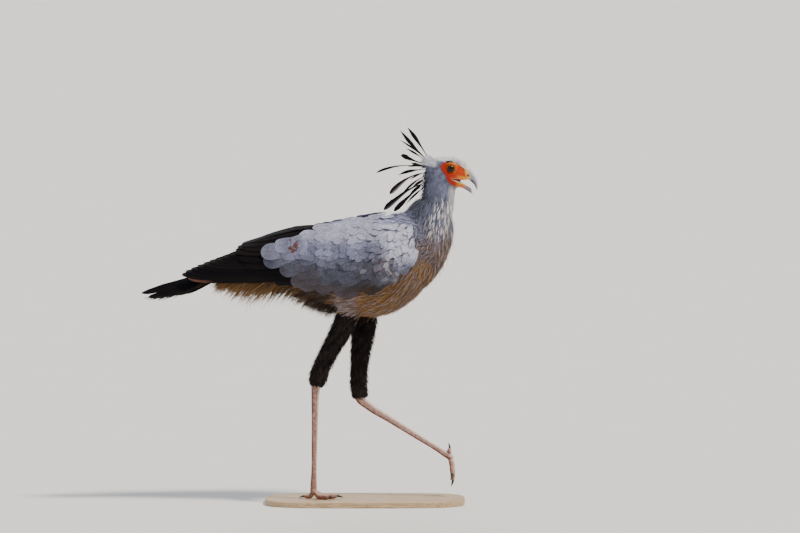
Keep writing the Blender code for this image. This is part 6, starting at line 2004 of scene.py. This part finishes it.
def dress_bird():
    rng = np.random.default_rng(20)
    skin = build_skin()
    points = mesh_points(skin)
    polygons = [tuple(p.vertices) for p in skin.data.polygons]
    tree = BVHTree.FromPolygons([Vector(p) for p in points], polygons)
    scatterer = scatter_tree()

    # Which part of the body each point of the skin belongs to.
    x, y, z = points.T
    head = ramp(beyond(points, HEAD_CUT), -0.002, 0.002)
    bare = in_outline(BARE_FACE, x, z)
    neck = ramp(beyond(points, NECK_CUT), -0.010, 0.002) * (1 - head)
    _, belly, _ = stations_at(TORSO, x).T
    thigh = ((z < belly + 0.004) & (x < 0.06) & (x > -0.2) & (z < 0.60)).astype(float)
    upper, lower, _ = stations_at(WING_ARM, x).T
    here, _ = guide_frames(x, z)
    winged = (np.abs(y) > np.abs(here[:, 1]) - 0.001) & (z < upper - 0.012) & (z > lower + 0.004) & (x < 0.145) & (x > -0.265)
    torso = (1 - head) * (1 - thigh) * (1 - winged.astype(float)) * (1 - ramp(beyond(points, NECK_CUT), 0.0, 0.012))

    tones = np.where(head[:, None] > 0.5, head_tone(points, rng), 0)
    tones = np.where(neck[:, None] > 0.5, neck_tone(points, rng), tones)
    tones = np.where((head[:, None] <= 0.5) & (neck[:, None] <= 0.5), body_tone(points, rng), tones)
    tones = np.where(thigh[:, None] > 0.5, thigh_tone(points, rng), tones)
    tones = np.where(winged[:, None], GREY[None] * 0.7, tones)

    soft = plumage("soft_contour_feathers", 0.9, 0.82, 0.0, 0.12, 0.35, gloss=0.2, barbs=0.25)
    fine = plumage("velvet_head_feathers", 0.7, 0.85, 0.0, 0.10, 0.12, gloss=0.2, barbs=0.08)
    black = plumage("black_breeches_feathers", 1.1, 0.8, 0.0, 0.03, 0.30, sheen=0.0, gloss=0.08)

    # Head: short close feathers that run back from the bill.
    bill_root = np.array((0.300, 0.0, 0.958))
    ragged = 0.0012 * drift(points, 0.006, 51)
    mask = ramp(beyond(points, HEAD_CUT), -0.016, 0.004) * ramp(bare + ragged, 0.0006, -0.0006)
    roots = scatter(skin, scatterer, mask, 0.0018, 1)
    away = unit(roots - bill_root)
    away[:, 1] *= 0.35
    down = np.array((-0.25, 0.0, -1.0))
    share = ramp(np.linalg.norm(roots - bill_root, axis=1), 0.045, 0.125) * ramp(roots[:, 2], 1.004, 0.95)
    headings = unit(away * (1 - share[:, None]) + down * share[:, None])
    far = ramp(roots[:, 0], 0.295, 0.205) * 0.5 + ramp(beyond(roots, HEAD_CUT), 0.05, 0.0) * 0.8
    coat = Coat("coat_head")
    grow(coat, tree, roots, headings, HEAD_AXIS, head_tone, rng, 0.0056 + 0.0080 * far, 0.0010 + 0.0005 * far,
         SMALL_STEPS, SMALL_SHAPE, (-0.0003, 0.0008, 0.0015, 0.0020), thick=0.0003, loose=0.0015)
    # Loose feathers that run down over the root of the bill, and a white tuft at the back of the crown.
    spikes = head * ramp(z, 0.964, 0.970) * ramp(x, 0.272, 0.280) * ramp(bare, 0.0006, -0.0006)
    roots = scatter(skin, scatterer, spikes, 0.0014, 7)
    headings = unit(np.stack([rng.uniform(0.3, 1.0, len(roots)), rng.normal(0, 0.35, len(roots)),
                              rng.uniform(-1.0, 0.1, len(roots))], 1))
    grow(coat, tree, roots, headings, HEAD_AXIS, head_tone, rng, 0.0095, 0.0008, SMALL_STEPS, SMALL_SHAPE,
         (0.0002, 0.0022, 0.0040, 0.0052), thick=0.0003, loose=0.003, jitter=0.25)
    finish_piece(coat.build(), [fine], sharp=60)
    tuft = head * ramp(x, 0.214, 0.204) * ramp(z, 0.976, 0.986)
    roots = scatter(skin, scatterer, tuft, 0.0021, 8)
    headings = np.stack([-np.ones(len(roots)), rng.normal(0, 0.25, len(roots)), rng.uniform(0.0, 0.7, len(roots))], 1)
    hanging_plumes("crown_tuft", fine, tree, roots, headings, HEAD_AXIS, head_tone, rng,
                   0.028, 0.0013, -0.005, 0.011)
    nape = head * ramp(x, 0.204, 0.195) * ramp(z, 0.985, 0.975)
    roots = scatter(skin, scatterer, nape, 0.0050, 9)
    headings = np.stack([-np.ones(len(roots)), rng.normal(0, 0.2, len(roots)), rng.uniform(-1.6, -0.3, len(roots))], 1)
    dark = lambda at, lots: mix(neck_tone(at, lots), BLACK, 0.8 * ramp(lots.uniform(0, 1, len(at)), 0.6, 0.8))
    hanging_plumes("nape_plumes", fine, tree, roots, headings, HEAD_AXIS, dark, rng,
                   0.030, 0.0013, 0.008, 0.007)

    # Neck: long loose pointed feathers.
    mask = ramp(beyond(points, NECK_CUT), -0.010, 0.002) * ramp(beyond(points, HEAD_CUT), 0.018, -0.008)
    roots = scatter(skin, scatterer, mask * ramp(bare, -0.004, -0.010), 0.0028, 2)
    path = np.array(NECK)[:, :2]
    tangent = unit(np.gradient(path, axis=0))
    sort = np.argsort(path[:, 1])
    way = np.stack([np.interp(roots[:, 2], path[sort, 1], tangent[sort, k]) for k in (0, 1)], 1)
    headings = np.stack([way[:, 0], np.zeros(len(roots)), way[:, 1]], 1)
    low = ramp(roots[:, 2], 0.93, 0.83)
    short = 1 - 0.45 * ramp(beyond(roots, HEAD_CUT), -0.035, 0.010)
    coat = Coat("coat_neck")
    grow(coat, tree, roots, headings, NECK_AXIS, neck_tone, rng, (0.020 + 0.018 * low) * short,
         0.0010 + 0.0006 * low, POINT_STEPS, POINT_SHAPE, (-0.0005, 0.0015, 0.0027, 0.0036, 0.0042), jitter=0.13,
         loose=0.006)
    finish_piece(coat.build(), [soft], sharp=60)

    # Body: rounded feathers on the back, longer loose ones on breast and belly.
    height = ramp((z - belly) / np.maximum(stations_at(TORSO, x)[:, 0] - belly, 1e-3), 0.50, 0.62)
    height = height * ramp(x + 0.5 * (z - 0.80), 0.130, 0.110)
    for name, mask, spacing, length, half, steps, shape, rise, loose in (
        ("coat_back", torso * height, 0.0072, 0.034, 0.0066, ROUND_STEPS, ROUND_SHAPE,
         (-0.0005, 0.0016, 0.0028, 0.0036, 0.0038), 0.001),
        ("coat_belly", torso * (1 - height), 0.0041, 0.030, 0.0015, POINT_STEPS, POINT_SHAPE,
         (-0.0005, 0.0017, 0.0030, 0.0040, 0.0047), 0.006),
    ):
        roots = scatter(skin, scatterer, mask, spacing, 3)
        top, bottom, _ = stations_at(TORSO, roots[:, 0]).T
        share = (roots[:, 2] - bottom) / np.maximum(top - bottom, 1e-3)
        fall = 1.5 * ramp(roots[:, 0], 0.02, 0.20) * ramp(share, 1.05, 0.5) + 0.10
        headings = np.stack([-np.ones(len(roots)), np.zeros(len(roots)), -fall], 1)
        coat = Coat(name)
        grow(coat, tree, roots, headings, BODY_AXIS, body_tone, rng, length, half, steps, shape, rise,
             jitter=0.15, loose=loose)
        finish_piece(coat.build(), [soft], sharp=60)

    # Thighs: short black breeches.
    for side, sign, stations in (("right", -1, THIGH_RIGHT), ("left", 1, THIGH_LEFT)):
        mask = thigh * (y * sign > 0)
        roots = scatter(skin, scatterer, mask, 0.0033, 4)
        line, _, _ = limb_rows(stations, 30)
        tangent = unit(np.gradient(line, axis=0))
        nearest = np.argmin(np.linalg.norm(roots[:, None] - line[None], axis=2), axis=1)
        coat = Coat(f"coat_thigh_{side}")
        grow(coat, tree, roots, tangent[nearest], line, thigh_tone, rng, 0.019, 0.0017,
             SMALL_STEPS, SMALL_SHAPE, (0.0, 0.0026, 0.0046, 0.0060), jitter=0.18, loose=0.005)
        finish_piece(coat.build(), [black], sharp=60)

    # Loose tawny plumes under the rump and tail, and longer ones low on the neck and breast.
    under = ramp(z - belly, 0.030, 0.012) * (x < -0.10) * (1 - thigh)
    roots = scatter(skin, scatterer, under, 0.0044, 5)
    headings = np.tile((-1.0, 0.0, -0.10), (len(roots), 1))
    rear = ramp(roots[:, 0], -0.19, -0.31)
    hanging_plumes("undertail_plumes", soft, tree, roots, headings, BODY_AXIS, body_tone, rng,
                   0.058 + 0.045 * rear, 0.0013, 0.022, 0.012)
    front = ramp(beyond(points, NECK_CUT), -0.06, -0.02) * (1 - head) * ramp(z, 0.90, 0.84)
    roots = scatter(skin, scatterer, front, 0.0120, 6)
    headings = np.tile((-0.25, 0.0, -1.0), (len(roots), 1))
    hanging_plumes("neck_plumes", soft, tree, roots, headings, NECK_AXIS, neck_tone, rng,
                   0.042, 0.0014, 0.004, 0.010)

    covert = plumage("grey_covert_feathers", 1.0, 0.75, 0.45, 0.14, 0.25, gloss=0.2, barbs=0.50)
    vane = plumage("black_flight_feathers", 1.2, 0.6, 0.2, 0.03, 0.10, sheen=0.0, gloss=0.06, barbs=0.4)
    deep = np.zeros(len(x))
    deep[winged] = reach_to_edge(COVERT_EDGE + BACK_EDGE + ((0.14, 0.812), (0.150, 0.795)), x[winged], z[winged])
    deep = deep + 0.045 * ramp(x, -0.02, 0.09)
    for side, sign in (("right", -1), ("left", 1)):
        inner = winged * (y * sign > 0) * ramp(deep, 0.125, 0.135)
        wing_coverts(side, covert, rng, tree, scatter(skin, scatterer, inner, 0.0080, 10))
        flight_feathers(side, vane, rng)
    tail_feathers(vane, rng)
    rump_feathers(vane, rng)
    undertail_fringe(soft, rng)
    crest_feathers(vane, rng)

    bare_look, down_look, lining = bare_skin(), coat_layer(), mouth_lining()
    set_colours(skin.data, "plumage", tones)
    for look in (down_look, bare_look, lining):
        skin.data.materials.append(look)
    centres = np.array([p.center for p in skin.data.polygons])
    on_face = (in_outline(BARE_FACE, centres[:, 0], centres[:, 2]) > 0) & (beyond(centres, HEAD_CUT) > 0)
    skin.data.polygons.foreach_set("material_index", on_face.astype(np.int32))
    prism = mouth_prism()
    prism.data.materials.append(lining)
    cut_away(skin, [prism])
    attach(skin, "root")
    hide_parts("head", "neck", "torso", "thigh_right", "thigh_left")


set_stage()
dress_bird()
build_bill()
build_eyes()
build_mouth()
build_gape_rims()
build_legs()
build_base()

bpy.context.view_layer.update()
